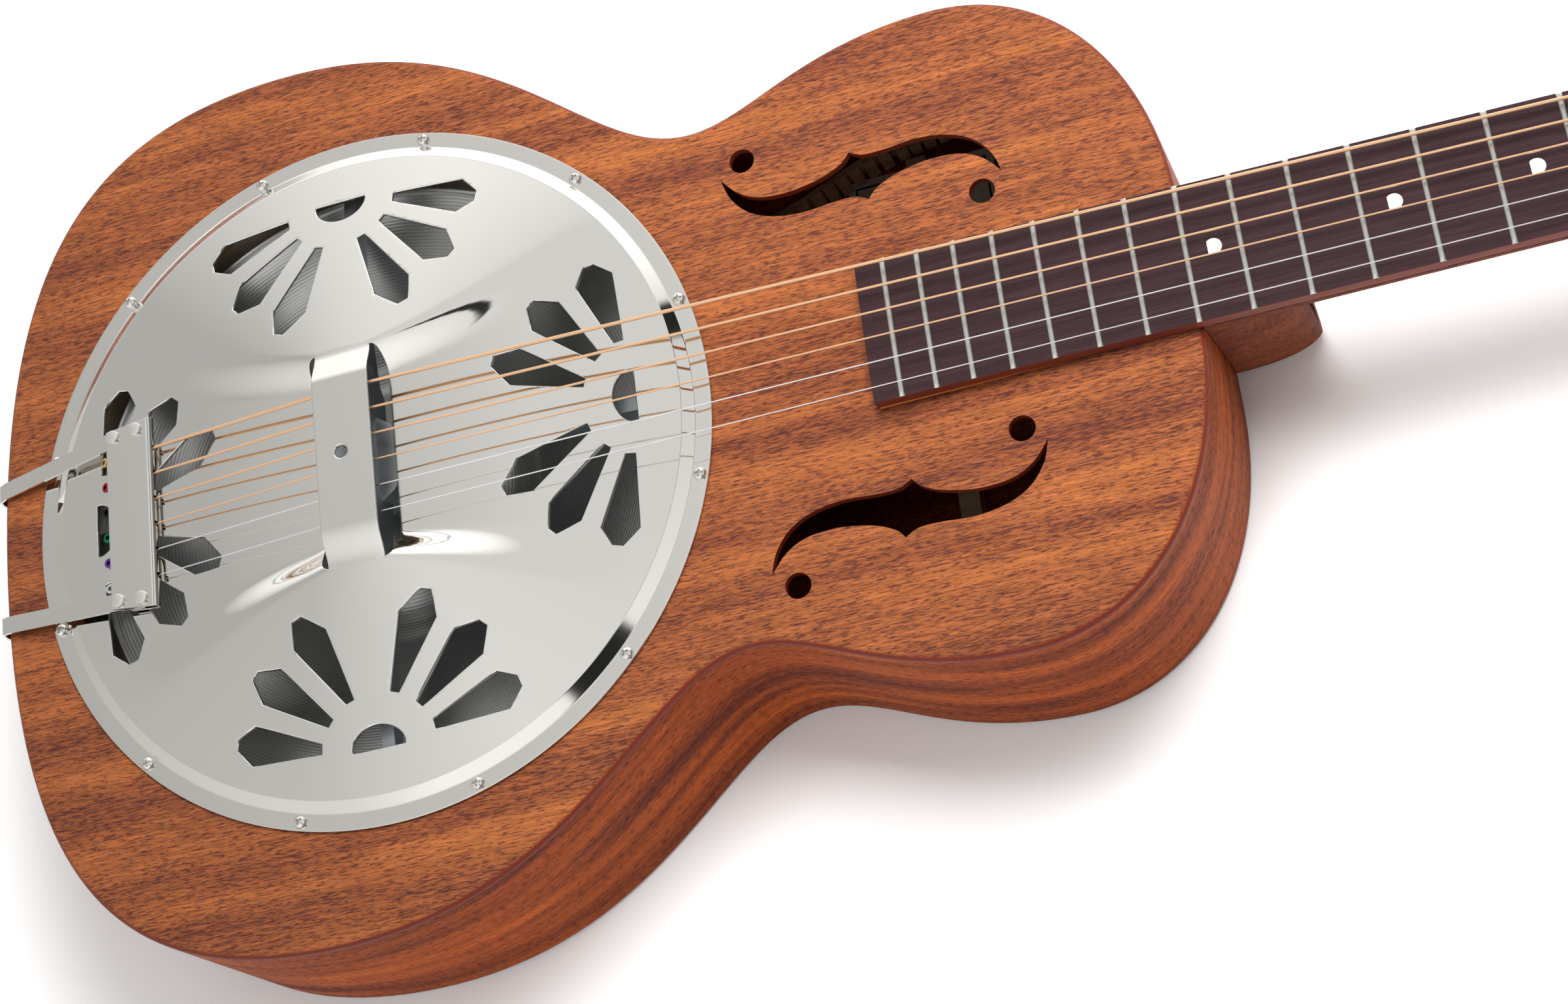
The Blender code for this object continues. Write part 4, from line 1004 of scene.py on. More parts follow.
def make_finishes(woods, metals):
    """Every finish by name, made once."""
    light, dark, pores, edge = (tuple(c) for c in (woods.light, woods.dark, woods.pores, woods.edge))
    side_light = (0.50, 0.102, 0.015)
    side_dark = (0.17, 0.028, 0.007)
    FINISHES["top"] = mahogany("soundboard mahogany", light, dark, pores, edge, turn=radians(3.0))
    FINISHES["back"] = mahogany("back mahogany", side_light, side_dark, pores, edge, turn=radians(-2.0))
    FINISHES["side"] = mahogany("side mahogany", side_light, side_dark, pores, along="RUN", bands=5.5,
                                rough=0.42, shine=0.03)
    FINISHES["neck"] = mahogany("neck mahogany", (0.30, 0.075, 0.022), (0.16, 0.035, 0.014), pores,
                                rough=0.45, shine=0.05)
    FINISHES["board"] = dark_board("rosewood", tuple(woods.board), (0.17, 0.035, 0.020))
    FINISHES["inside"] = mottled("raw inner wood", (0.78, 0.60, 0.38), (0.60, 0.42, 0.24),
                                 (30.0, 260.0, 260.0), 0.75)
    FINISHES["shim"] = mottled("orange shim wood", (0.72, 0.22, 0.03), (0.50, 0.12, 0.015),
                               (20.0, 300.0, 300.0), 0.45)
    FINISHES["maple"] = mottled("saddle maple", (0.60, 0.42, 0.23), (0.42, 0.27, 0.13),
                                (60.0, 400.0, 400.0), 0.5)
    FINISHES["bone"] = mottled("nut bone", (0.82, 0.78, 0.68), (0.72, 0.66, 0.54), (220.0,) * 3, 0.35)
    FINISHES["pearl"] = mottled("dot pearl", (0.80, 0.78, 0.72), (0.60, 0.66, 0.62), (420.0,) * 3, 0.22,
                                coat=0.5)
    FINISHES["button"] = mottled("cream button", (0.80, 0.74, 0.60), (0.68, 0.58, 0.42),
                                 (90.0, 160.0, 90.0), 0.22, coat=0.4)
    FINISHES["label"] = mottled("label paper", (0.88, 0.84, 0.74), (0.80, 0.75, 0.62), (90.0,) * 3, 0.8)
    FINISHES["ink"] = mottled("label border ink", (0.05, 0.04, 0.03), (0.08, 0.06, 0.05), (90.0,) * 3, 0.8)
    FINISHES["cover_plastic"] = mottled("black plastic", (0.012, 0.012, 0.013), (0.02, 0.02, 0.022),
                                        (200.0,) * 3, 0.25)
    nickel = tuple(metals.nickel)
    FINISHES["nickel"] = metal("polished nickel", nickel, metals.polish, 0.05, 9.0, 0.03)
    FINISHES["steel"] = metal("nickel plated steel", (0.84, 0.83, 0.80), 0.24, 0.10, 420.0, 0.04)
    FINISHES["fret"] = metal("fret nickel silver", (0.72, 0.73, 0.68), 0.30, 0.03, 300.0, 0.004,
                             (1.0, 0.1, 1.0))
    FINISHES["plain"] = metal("drawn string steel", (0.80, 0.80, 0.80), 0.16, 0.10, 900.0, 0.03,
                              (0.05, 1.0, 1.0))
    FINISHES["cast"] = metal("cast aluminium", (0.46, 0.50, 0.53), 0.42, 0.18, 160.0, 0.25)
    FINISHES["cone"] = spun_metal("spun aluminium", (0.72, 0.72, 0.71))
    FINISHES["bronze"] = wound("wound bronze", (0.88, 0.56, 0.34))


class MakeFinishes(bpy.types.Operator):
    """Makes every finish from the colours in the settings"""

    bl_idname = "guitar.make_finishes"
    bl_label = "Make the finishes"

    def execute(self, context):
        make_finishes(context.scene.guitar_woods, context.scene.guitar_metals)
        return {"FINISHED"}


# ---- Body ----
def bent_side(side):
    """One bent side: a thin band that follows the outline, marked with the distance along it."""
    half = half_outline()
    inner = moved_in(half, SIDE_THICK)
    bm = bmesh.new()
    run = bm.verts.layers.float.new("run")
    reach = [0.0]
    for (x0, y0), (x1, y1) in zip(half, half[1:]):
        reach.append(reach[-1] + hypot(x1 - x0, y1 - y0))
    keep = 0.05
    outline = [(x, side * max(y, keep)) for x, y in half + inner[::-1]]
    slab(bm, outline, BACK_FACE, TOP_UNDER)
    bm.verts.ensure_lookup_table()
    marks = (reach + reach[::-1]) * 2
    for vert, mark in zip(bm.verts, marks):
        vert[run] = mark * MM
    return bm


KERF_STEP = 5.6
KERF_LONG = 4.6
KERF_DEEP = 4.0
KERF_SLOPE = 2.6


def kerfed_lining(side, low, high, flip):
    """A row of small wedges on a thin web, which lets the strip follow the side's curve."""
    distance = SIDE_THICK + GAP
    half = moved_in(half_outline(60), distance)
    bm = bmesh.new()
    beside = [p for p in half if p[1] > 29.0]
    back = moved_in(half_outline(60), distance + 1.2)
    web = [(p, q) for p, q in zip(half, back) if p[1] > 29.0 and q[1] > 28.4]
    outline = [(x, side * y) for x, y in [p for p, q in web] + [q for p, q in reversed(web)]]
    slab(bm, outline, low, high)
    walked = 0.0
    for (x0, y0), (x1, y1) in zip(beside, beside[1:]):
        walked += hypot(x1 - x0, y1 - y0)
        if walked < KERF_STEP:
            continue
        walked = 0.0
        angle = atan2(side * (y1 - y0), x1 - x0)
        inward = Vector((sin(angle), -cos(angle), 0.0)) * side
        centre = Vector((x1, side * y1, (low + high) / 2)) + inward * 3.0
        place = Matrix.Translation(centre) @ Matrix.Rotation(angle, 4, "Z")
        shape = place @ Matrix.Diagonal((KERF_LONG, KERF_DEEP, high - low, 1.0))
        block = bmesh.ops.create_cube(bm, size=1.0, matrix=shape)
        tip = [v for v in block["verts"] if (v.co - centre).dot(inward) > 0 and (v.co.z > centre.z) == flip]
        bmesh.ops.translate(bm, verts=tip, vec=-inward * KERF_SLOPE)
    return bm


class BuildBody(bpy.types.Operator):
    """Builds the soundboard, the back, the sides, the linings and the label"""

    bl_idname = "guitar.build_body"
    bl_label = "Build the body"

    def execute(self, context):
        round_edge = context.scene.guitar_woods.edge_round / MM
        outline = whole_outline()
        top = slab(bmesh.new(), outline, TOP_UNDER, TOP)
        bevelled(top, round_edge, segments=6, keep=lambda e: min(v.co.z for v in e.verts) > TOP - 0.1)
        top = piece("soundboard", top, FINISHES["top"])
        holes = bmesh.new()
        slab(holes, ring(WELL_INNER, 128), TOP_UNDER - 1.0, TOP + 1.0)
        for side in (1, -1):
            slab(holes, f_hole(side), TOP_UNDER - 1.0, TOP + 1.0)
            for x, y in F_HOLE_DOTS:
                dot = [(x + a, side * y + b) for a, b in ring(F_HOLE_DOT_RADIUS, 40)]
                slab(holes, dot, TOP_UNDER - 1.0, TOP + 1.0)
        fitted(carved(top, holes), "root", "mahogany_satin", "top_plate")

        back = slab(bmesh.new(), outline, 0.0, BACK_FACE)
        bevelled(back, round_edge, segments=5, keep=lambda e: max(v.co.z for v in e.verts) < 0.1)
        fitted(piece("back", back, FINISHES["back"]), "root", "mahogany_satin", "back_plate")

        for name, side in (("side_bass", 1), ("side_treble", -1)):
            made = piece(f"bent_{name}", bent_side(side), FINISHES["side"])
            fitted(made, "root", "mahogany_satin", name)
            for level in ("top", "back"):
                node = f"lining_{level}_{name[5:]}"
                low, high = lowest(node).z, highest(node).z
                strip = kerfed_lining(side, low, high, level == "back")
                fitted(piece(f"kerfed_{node}", strip, FINISHES["inside"], 25.0), "root", "inner_wood", node)

        label = slab(bmesh.new(), [(178.0, 64.0), (238.0, 64.0), (238.0, 109.5), (178.0, 109.5)],
                     BACK_FACE + 0.02, BACK_FACE + 0.2)
        fitted(piece("blank_label", label, FINISHES["label"]), "root", "bone")
        border = bmesh.new()
        for x0, y0, x1, y1 in ((181.0, 67.0, 235.0, 67.8), (181.0, 105.7, 235.0, 106.5),
                               (181.0, 67.8, 181.8, 105.7), (234.2, 67.8, 235.0, 105.7)):
            slab(border, [(x0, y0), (x1, y0), (x1, y1), (x0, y1)], BACK_FACE + 0.2, BACK_FACE + 0.26)
        fitted(piece("label_border", border, FINISHES["ink"]), "root", "dark_board")
        return {"FINISHED"}


# ---- Coverplate ----
WINDOW_STEPS = 256
WINDOW_CORNERS = 9                  # 2 would be an ellipse, and more gives squarer corners
PALM_STEPS = 60
BAND_FIRST, BAND_LAST = 38, 90      # the loop's points along the palm rest's bass end
ROLL_RINGS = (0.0, 0.03, 0.06, 0.09, 0.12, 0.2, 0.4, 0.6, 0.8, 0.88, 0.91, 0.94, 0.97, 1.0)


def window_loop():
    """Points round the window below the palm rest, with the direction that each one spreads in."""
    for i in range(WINDOW_STEPS):
        c, s = cos(2 * pi * i / WINDOW_STEPS), sin(2 * pi * i / WINDOW_STEPS)
        reach = (abs(c) ** WINDOW_CORNERS + abs(s) ** WINDOW_CORNERS) ** (-1 / WINDOW_CORNERS)
        yield WINDOW_MIDDLE_X + WINDOW_HALF_X * reach * c, WINDOW_HALF_Y * reach * s, c, s


def cover_sheet():
    """The round sheet outside the window, and the palm rest over it."""
    reach = [(i / 45.0, 110.0) for i in range(46)]
    reach += [(1.0, 110.0 + (STEP_INNER - 0.3 - 110.0) * i / 9.0) for i in range(1, 10)]
    reach += [(1.0, STEP_INNER + (FLANGE_INNER - STEP_INNER) * t) for t in ROLL_RINGS]
    reach += [(1.0, FLANGE_INNER + 0.3 + (COVER_RADIUS - FLANGE_INNER - 0.3) * i / 4.0) for i in range(5)]
    loop = list(window_loop())
    sections = []
    for share, radius in reach:
        section = [(x + (radius * c - x) * share, y + (radius * s - y) * share) for x, y, c, s in loop]
        sections.append([(x, y, SEAT + cover_height(x, y)) for x, y in section])
    bm = drawn(bmesh.new(), sections, capped=False)

    bm.verts.ensure_lookup_table()
    index = bm.verts.layers.int["index"]
    row = bm.verts[BAND_FIRST:BAND_LAST + 1]
    edges = [bm.edges.get(pair) for pair in zip(row, row[1:])]
    for step in range(1, PALM_STEPS + 1):
        grown = bmesh.ops.extrude_edge_only(bm, edges=edges)
        fresh = new_verts(grown)
        for vert in fresh:
            x, y = loop[vert[index]][:2]
            y *= 1.0 - 2.0 * step / PALM_STEPS
            vert.co = (x, y, SEAT + palm_height(x, y))
        edges = [e for e in grown["geom"] if isinstance(e, bmesh.types.BMEdge)
                 and e.verts[0] in fresh and e.verts[1] in fresh]
    return bm


def build_screw(radius, head_high, long):
    """A round-head screw that stands at the origin with its head's underside at z = 0."""
    profile = [(0.0, -long), (0.22 * radius, -long + 0.9), (0.45 * radius, -long + 2.2),
               (0.45 * radius, 0.0), (0.96 * radius, 0.0), (radius, 0.14 * head_high),
               (0.97 * radius, 0.42 * head_high),
               (0.84 * radius, 0.70 * head_high), (0.60 * radius, 0.88 * head_high),
               (0.32 * radius, 0.975 * head_high), (0.0, head_high)]
    bm = bmesh.new()
    turned(bm, profile, 32)
    made = piece("screw", bm, FINISHES["steel"])
    arm, thick = 0.62 * radius, 0.15 * radius
    cross = [(arm, -thick), (arm, thick), (thick, thick), (thick, arm), (-thick, arm), (-thick, thick),
             (-arm, thick), (-arm, -thick), (-thick, -thick), (-thick, -arm), (thick, -arm),
             (thick, -thick)]
    recess = drawn(bmesh.new(), [[(x * share, y * share, z) for x, y in cross] for share, z in (
        (0.5, 0.40 * head_high), (1.0, 0.95 * head_high), (1.0, head_high + 1.0))])
    return carved(made, recess)


def placed_copy(source, name, place):
    """A copy of a piece whose mesh is moved to a place given in millimetres."""
    mesh = source.data.copy()
    lift = place.copy()
    lift.translation *= MM
    mesh.transform(lift)
    mesh.name = name
    made = bpy.data.objects.new(name, mesh)
    bpy.context.scene.collection.objects.link(made)
    return made


class BuildCoverplate(bpy.types.Operator):
    """Builds the coverplate with its palm rest, its fans of holes and its screws"""

    bl_idname = "guitar.build_coverplate"
    bl_label = "Build the coverplate"

    def execute(self, context):
        cover = piece("cover_sheet", cover_sheet(), FINISHES["nickel"], 60.0, upward=True)
        wall = cover.modifiers.new("Sheet", "SOLIDIFY")
        wall.thickness = context.scene.guitar_metals.sheet
        wall.offset = -1.0
        wall.use_even_offset = True
        rims = cover.modifiers.new("Rounded rims", "BEVEL")
        rims.width = 0.28 * MM
        rims.segments = 3
        rims.limit_method = "ANGLE"
        rims.angle_limit = radians(60.0)
        settled(cover, 50.0)
        holes = bmesh.new()
        for quarter in range(4):
            for hole in fan_holes():
                rim_cutter(holes, hole, quarter * pi / 2)
        face = highest("coverplate").z
        drawn(holes, [[(x, y, face + level) for x, y in ring(2.5 + out, 40)] for out, level in (
            (0.0, -3.0), (0.0, -0.5), (0.08, -0.25), (0.3, -0.07), (0.65, 0.03), (1.0, 0.3))])
        cover = carved(cover, holes, crease=40.0)
        fitted(cover, "root", "nickel", "coverplate")

        screw = build_screw(2.5, 1.9, 8.0)
        for i, (x, y) in enumerate(screw_places()):
            place = Matrix.Translation((x, y, SEAT + COVER_THICK)) @ Matrix.Rotation(0.7 * i, 4, "Z")
            made = placed_copy(screw, f"cover_screw_{i + 1:02d}_look", place)
            fitted(made, "root", "plated_steel", f"cover_screw_{i + 1:02d}")
        bpy.data.objects.remove(screw)
        return {"FINISHED"}


# ---- Resonator ----
CONE_THICK = 0.8
# The cone's upper face as (radius, height over its rim): rim, slope, valley and middle rise.
CONE_SECTION = ((125.5, 0.0), (121.0, 0.0), (117.5, 0.0), (114.5, -3.0), (88.0, -13.5), (62.0, -24.0),
                (54.0, -25.8), (46.0, -26.0), (35.0, -20.5), (24.0, -15.0), (9.0, -10.0))


class BuildResonator(bpy.types.Operator):
    """Builds the spun cone, the cast spider, the saddles and the screw that holds them together"""

    bl_idname = "guitar.build_resonator"
    bl_label = "Build the resonator"

    def execute(self, context):
        rim = highest("cone").z - CONE_THICK
        fine = curve_through(CONE_SECTION, 8) + [CONE_SECTION[-1]]
        profile = [(r, rim + CONE_THICK + z) for r, z in fine]
        profile += [(r, rim + z) for r, z in reversed(fine)]
        cone = turned(bmesh.new(), profile, 144, closed=True)
        fitted(piece("spun_cone", cone, FINISHES["cone"]), "root", "spun_aluminium", "cone")

        spider = softened("spider", "cast_spider", FINISHES["cast"], 0.45)
        fitted(spider, "root", "cast_aluminium", "spider")
        for name in ("saddle_bass", "saddle_treble"):
            fitted(softened(name, f"maple_{name}", FINISHES["maple"], 0.2), "root", "saddle_maple", name)

        low, high = lowest("tension_screw").z, highest("tension_screw").z
        head = bmesh.new()
        turned(head, [(0.0, low), (1.5, low), (1.9, low + 0.6), (1.9, high - 2.5), (3.4, high - 2.5),
                      (3.5, high - 2.2), (3.5, high - 1.2), (3.1, high - 0.5), (2.2, high - 0.1),
                      (0.0, high)], 40)
        screw = piece("cone_screw", head, FINISHES["steel"])
        cut = slab(bmesh.new(), [(-5.0, -0.5), (5.0, -0.5), (5.0, 0.5), (-5.0, 0.5)], high - 1.2,
                   high + 1.0)
        fitted(carved(screw, cut), "root", "plated_steel", "tension_screw")
        return {"FINISHED"}


# ---- Tailpiece ----
BALL_COLOURS = (("brass", (0.70, 0.48, 0.16)), ("red", (0.42, 0.02, 0.03)),
                ("black", (0.02, 0.02, 0.022)), ("green", (0.01, 0.26, 0.12)),
                ("purple", (0.17, 0.05, 0.36)), ("silver", (0.62, 0.62, 0.62)))
# Turned outlines as (radius, height along the axis).
BALL_PROFILE = ((0.9, -1.5), (1.7, -1.5), (1.95, -1.25), (1.75, -0.5), (1.7, 0.0), (1.75, 0.5),
                (1.95, 1.25), (1.7, 1.5), (0.9, 1.5))
BALL_TILT = -35.0
BALL_TILT_STEP = 9.0
PIN_PROFILE = ((0.0, -16.0), (2.4, -16.0), (3.6, 1.8), (6.0, 2.0), (6.6, 3.0), (6.3, 4.2), (4.6, 5.6),
               (4.2, 7.0), (4.3, 9.0), (5.0, 11.0), (6.4, 12.3), (6.8, 13.4), (6.2, 15.0), (4.4, 16.1),
               (2.4, 16.5), (0.0, 16.5))


class BuildTailpiece(bpy.types.Operator):
    """Builds the tailpiece's folded plate, its rivets, hanger and end pin, and the strings' ball ends"""

    bl_idname = "guitar.build_tailpiece"
    bl_label = "Build the tailpiece"

    def execute(self, context):
        rear, front = lowest("tailpiece").x, highest("tailpiece").x
        low, high = lowest("tailpiece").z, highest("tailpiece").z
        middle, bend = (high + low) / 2, (high - low) / 2
        outer = [(front - bend + bend * sin(pi * k / 14), middle + bend * cos(pi * k / 14))
                 for k in range(15)]
        inner = [(front - bend + (bend - COVER_THICK) * sin(pi * k / 14),
                  middle + (bend - COVER_THICK) * cos(pi * k / 14)) for k in range(14, -1, -1)]
        profile = [(rear, high)] + outer + [(rear + 6.0, low), (rear + 6.0, low + COVER_THICK)]
        profile += inner + [(rear, high - COVER_THICK)]
        half = highest("tailpiece").y
        flare = 2.3 / (front - rear)
        plate = drawn(bmesh.new(), [[(x, side * (half + flare * (x - front)), z) for x, z in profile]
                                    for side in (-1, 1)])
        bevelled(plate, 0.22, 40.0)
        plate = piece("tailpiece_plate", plate, FINISHES["nickel"], 50.0)
        slots = bmesh.new()
        for i in range(len(STRING_NAMES)):
            y = string_y(i, BRIDGE_PITCH)
            slab(slots, [(front - 2.2, y - 1.1), (front + 1.0, y - 1.1), (front + 1.0, y + 1.1),
                         (front - 2.2, y + 1.1)], TOP + 9.4, TOP + 11.5)
        fitted(carved(plate, slots, crease=40.0), "root", "nickel", "tailpiece")
        fitted(softened("tail_hanger", "hanger_straps", FINISHES["nickel"], 0.2), "root", "nickel",
               "tail_hanger")

        for number, (x, y) in enumerate(((rear + 3.2, 33.5), (rear + 3.2, -33.5), (rear + 12.8, 34.4),
                                         (rear + 12.8, -34.4))):
            rivet = bmesh.new()
            turned(rivet, [(0.0, high - 3.0), (1.2, high - 3.0), (1.2, high), (2.45, high),
                           (2.65, high + 0.2), (2.65, high + 0.8), (2.5, high + 1.1),
                           (2.1, high + 1.25), (0.0, high + 1.3)], 36, centre=(x, y))
            fitted(piece(f"tailpiece_rivet_{number + 1}", rivet, FINISHES["steel"]), "root", "plated_steel")

        pin = turned(bmesh.new(), PIN_PROFILE, 48)
        bmesh.ops.rotate(pin, verts=pin.verts, matrix=Matrix.Rotation(-pi / 2, 3, "Y"))
        bmesh.ops.translate(pin, verts=pin.verts, vec=(lowest("end_pin").x + 16.5, 0.0, PIN_Z))
        fitted(piece("turned_end_pin", pin, FINISHES["steel"]), "root", "plated_steel", "end_pin")

        for i, (name, colour) in enumerate(BALL_COLOURS):
            finish = metal(f"{name} ball end", colour, 0.22, 0.18, 400.0, 0.05)
            ball = turned(bmesh.new(), BALL_PROFILE, 32, closed=True)
            tilt = Matrix.Rotation(radians(BALL_TILT + BALL_TILT_STEP * i), 3, "Y")
            bmesh.ops.rotate(ball, verts=ball.verts, matrix=tilt)
            bmesh.ops.translate(ball, verts=ball.verts,
                                vec=(rear - 2.6, string_y(i, BRIDGE_PITCH), TOP + 7.6))
            fitted(piece(f"ball_end_{STRING_NAMES[i]}", ball, finish), "root", "plated_steel")
        return {"FINISHED"}


# ---- Neck ----
NECK_LEVELS = 26
SHAFT_DEEP = 15.5
SHAFT_GROWTH = 2.0
HEEL_HALF = 25.5
HEEL_TAPER = 15.5


def neck_section(x):
    """One loop across the neck: down its bass side, then up its treble side."""
    top = board_z(x) - BOARD_THICK - GAP
    along = (NUT_X - x) / (NUT_X - NECK_X)
    half = board_half(x) - 0.1
    shaft = SHAFT_DEEP + SHAFT_GROWTH * along
    in_heel = x < HEEL_FRONT
    bottom = HEEL_LOW if in_heel else top - shaft
    if x > NUT_X:
        bottom += 0.45 * (x - NUT_X)
    side = []
    for k in range(NECK_LEVELS):
        share = k / (NECK_LEVELS - 1)
        z = top - (top - bottom) * share ** (1.3 if in_heel else 1.0)
        depth = (top - z) / shaft
        wide = half * sqrt(max(1.0 - depth ** 2.2, 0.0)) if depth < 1.0 else 0.0
        if not in_heel:
            turn = share * pi / 2
            wide = max(half * cos(turn) ** 0.9, 0.0)
            z = top - (top - bottom) * sin(turn) ** 1.1
        if in_heel:
            out = (x - NECK_X) / (HEEL_FRONT + 0.3 - NECK_X)
            plan = sqrt(max(1.0 - out ** 2.4, 0.0))
            wide = max(wide, (HEEL_HALF - HEEL_TAPER * (top - z) / (top - HEEL_LOW)) * plan)
        side.append((max(wide, 1.2), z))
    return [(x, y, z) for y, z in side] + [(x, -y, z) for y, z in reversed(side)]


HEAD_HALF = [(1.0, 22.5), (12.0, 24.0), (26.0, 31.5), (90.0, 33.0), (150.0, 35.5), (170.0, 36.0),
             (178.0, 24.0)]


def head_outline():
    """The headstock's outline, smooth at the shoulders and crown."""
    half = [HEAD_HALF[0]] + curve_through(HEAD_HALF, 6)[1:]
    half += curve_through([HEAD_HALF[-1], (182.0, 10.0), (183.0, 0.0)], 5)
    return half + [(183.0, 0.0)] + [(u, -v) for u, v in reversed(half)]


def laid_on_head(bm):
    bmesh.ops.transform(bm, matrix=HEAD_FRAME, verts=bm.verts)
    return bm


class BuildNeck(bpy.types.Operator):
    """Builds the neck, its fretboard, frets, dots, nut, shim and headstock facing"""

    bl_idname = "guitar.build_neck"
    bl_label = "Build the neck"

    def execute(self, context):
        heel = [NECK_X + GAP + (HEEL_FRONT - 0.1 - NECK_X - GAP) * sin(pi / 2 * k / 22) for k in range(23)]
        shaft = [HEEL_FRONT + 1.2] + [HEEL_FRONT + 6.0 + 24.0 * k for k in range(12)]
        shaft += [NUT_X, NUT_X + 12.0]
        neck = piece("shaped_neck", drawn(bmesh.new(), [neck_section(x) for x in heel + shaft]),
                     FINISHES["neck"])
        head = slab(bmesh.new(), head_outline(), HEAD_BACK, -OVERLAY_THICK - GAP)
        bevelled(head, 1.2, 60.0, 3)
        neck = carved(neck, laid_on_head(head), "UNION")
        bores = bmesh.new()
        for side in (1, -1):
            for u in POST_STEPS:
                slab(bores, [(u + a, side * POST_SIDE + b) for a, b in ring(3.5, 28)], -25.0, 5.0)
        laid_on_head(bores)
        spare = bores.copy()
        neck = carved(neck, bores)
        channel = bmesh.new()
        drawn(channel, [[(x, y, board_z(x) - BOARD_THICK + z)
                         for y, z in ((-3.3, 3.0), (3.3, 3.0), (3.3, -8.5), (-3.3, -8.5))]
                        for x in (330.0, 620.0)])
        fitted(carved(neck, channel), "root", "mahogany_satin", "neck")
        overlay = laid_on_head(bevelled(slab(bmesh.new(), head_outline(), -OVERLAY_THICK, 0.0), 0.5, 60.0))
        overlay = piece("headstock_facing", overlay, FINISHES["board"])
        fitted(carved(overlay, spare), "root", "dark_board", "headstock_overlay")

        board = []
        for x in (BOARD_END_X, NUT_X - GAP):
            half, z = board_half(x), board_z(x)
            across = [(x, half * (1.0 - k / 8.0), z - CAMBER * (1.0 - k / 8.0) ** 2) for k in range(17)]
            board.append(across + [(x, -half, z - BOARD_THICK), (x, half, z - BOARD_THICK)])
        board = bevelled(drawn(bmesh.new(), board), 0.35, 50.0)
        fitted(piece("rosewood_board", board, FINISHES["board"]), "root", "dark_board", "fretboard")

        crown = [(1.15 * cos(pi * k / 8.0), 1.1 * sin(pi * k / 8.0)) for k in range(9)]
        crown += [(-1.15, -0.25), (1.15, -0.25)]
        for number in range(1, FRETS + 1):
            x0 = fret_x(number)
            half, z0 = board_half(x0), board_z(x0)
            sections = []
            for k in range(15):
                share = max(-1.0, min(1.0, (k - 7) / 6.0))
                y = share * (half - 1.1) if 0 < k < 14 else share * (half - 0.02)
                high = 1.0 if 0 < k < 14 else 0.2
                lift = z0 - CAMBER * (y / half) ** 2
                sections.append([(x0 + a, y, lift + b * high) for a, b in crown])
            fret = drawn(bmesh.new(), sections)
            fitted(piece(f"fret_{number:02d}", fret, FINISHES["fret"]), "root", "dark_board")

        for number in (3, 5, 7, 9, 12):
            x = (fret_x(number) + fret_x(number - 1)) / 2
            dot = bmesh.new()
            turned(dot, [(0.0, board_z(x) - 1.0), (3.0, board_z(x) - 1.0), (3.0, board_z(x) + 0.03),
                         (0.0, board_z(x) + 0.05)], 48, centre=(x, 0.0))
            fitted(piece(f"position_dot_{number:02d}", dot, FINISHES["pearl"]), "root", "bone")

        fitted(softened("fretboard_shim", "board_shim", FINISHES["shim"], 0.15), "root", "shim_wood",
               "fretboard_shim")
        fitted(softened("nut", "bone_nut", FINISHES["bone"], 0.3, 20.0, 3), "root", "bone", "nut")

        cover = [(3.5, 7.5), (8.0, 10.0), (14.0, 9.0), (24.0, 6.0), (31.0, 4.2), (33.0, 0.0)]
        cover = curve_through(cover, 5) + [cover[-1]]
        outline = cover + [(u, -v) for u, v in reversed(cover[:-1])]
        lid = laid_on_head(bevelled(slab(bmesh.new(), outline, 0.02, 1.6), 0.4, 60.0))
        fitted(piece("truss_rod_lid", lid, FINISHES["cover_plastic"]), "root", "dark_board")
        screw = build_screw(1.5, 0.8, 3.0)
        for k, (u, v) in enumerate(((6.5, 0.0), (29.0, 0.0))):
            place = HEAD_FRAME @ Matrix.Translation((u, v, 1.6))
            fitted(placed_copy(screw, f"truss_lid_screw_{k + 1}", place), "root", "plated_steel")
        bpy.data.objects.remove(screw)
        return {"FINISHED"}


# ---- Strings and tuners ----
# Turned outlines as (radius, height along the axis).
WORM_PROFILE = ((0.0, -8.2), (1.6, -8.2), (1.8, -8.0), (1.8, -5.7), (2.0, -5.5), (2.0, 5.5), (1.8, 5.7),
                (1.8, 18.4), (0.0, 18.4))
KNOB_PROFILE = ((0.0, 18.2), (3.4, 18.2), (3.6, 18.7), (3.3, 19.4), (4.3, 20.3), (6.8, 21.3), (8.1, 23.6),
                (8.6, 27.0), (8.1, 30.6), (6.6, 33.2), (4.0, 34.4), (0.0, 34.6))
BUSH_PROFILE = ((3.45, -1.0), (4.6, -1.0), (4.6, 0.02), (5.6, 0.02), (5.6, 0.5), (5.0, 0.95), (3.8, 1.1),
                (3.45, 1.1))


def coil(bm, radius, wire, turns, start, low, pitch):
    """A round wire wound on an upright axis."""
    steps = 28
    loop = [bm.verts.new((radius + a, 0.0, low + b)) for a, b in ring(wire, 8)]
    edges = [bm.edges.new(pair) for pair in zip(loop, loop[1:] + loop[:1])]
    bmesh.ops.rotate(bm, verts=bm.verts, matrix=Matrix.Rotation(start, 3, "Z"))
    made = bmesh.ops.spin(bm, geom=loop + edges, axis=(0.0, 0.0, 1.0), cent=(0.0, 0.0, 0.0),
                          dvec=(0.0, 0.0, pitch / steps), angle=2 * pi * turns, steps=int(steps * turns))
    last = [e for e in made["geom_last"] if isinstance(e, bmesh.types.BMEdge)]
    bmesh.ops.contextual_create(bm, geom=edges)
    bmesh.ops.contextual_create(bm, geom=last)
    return bm


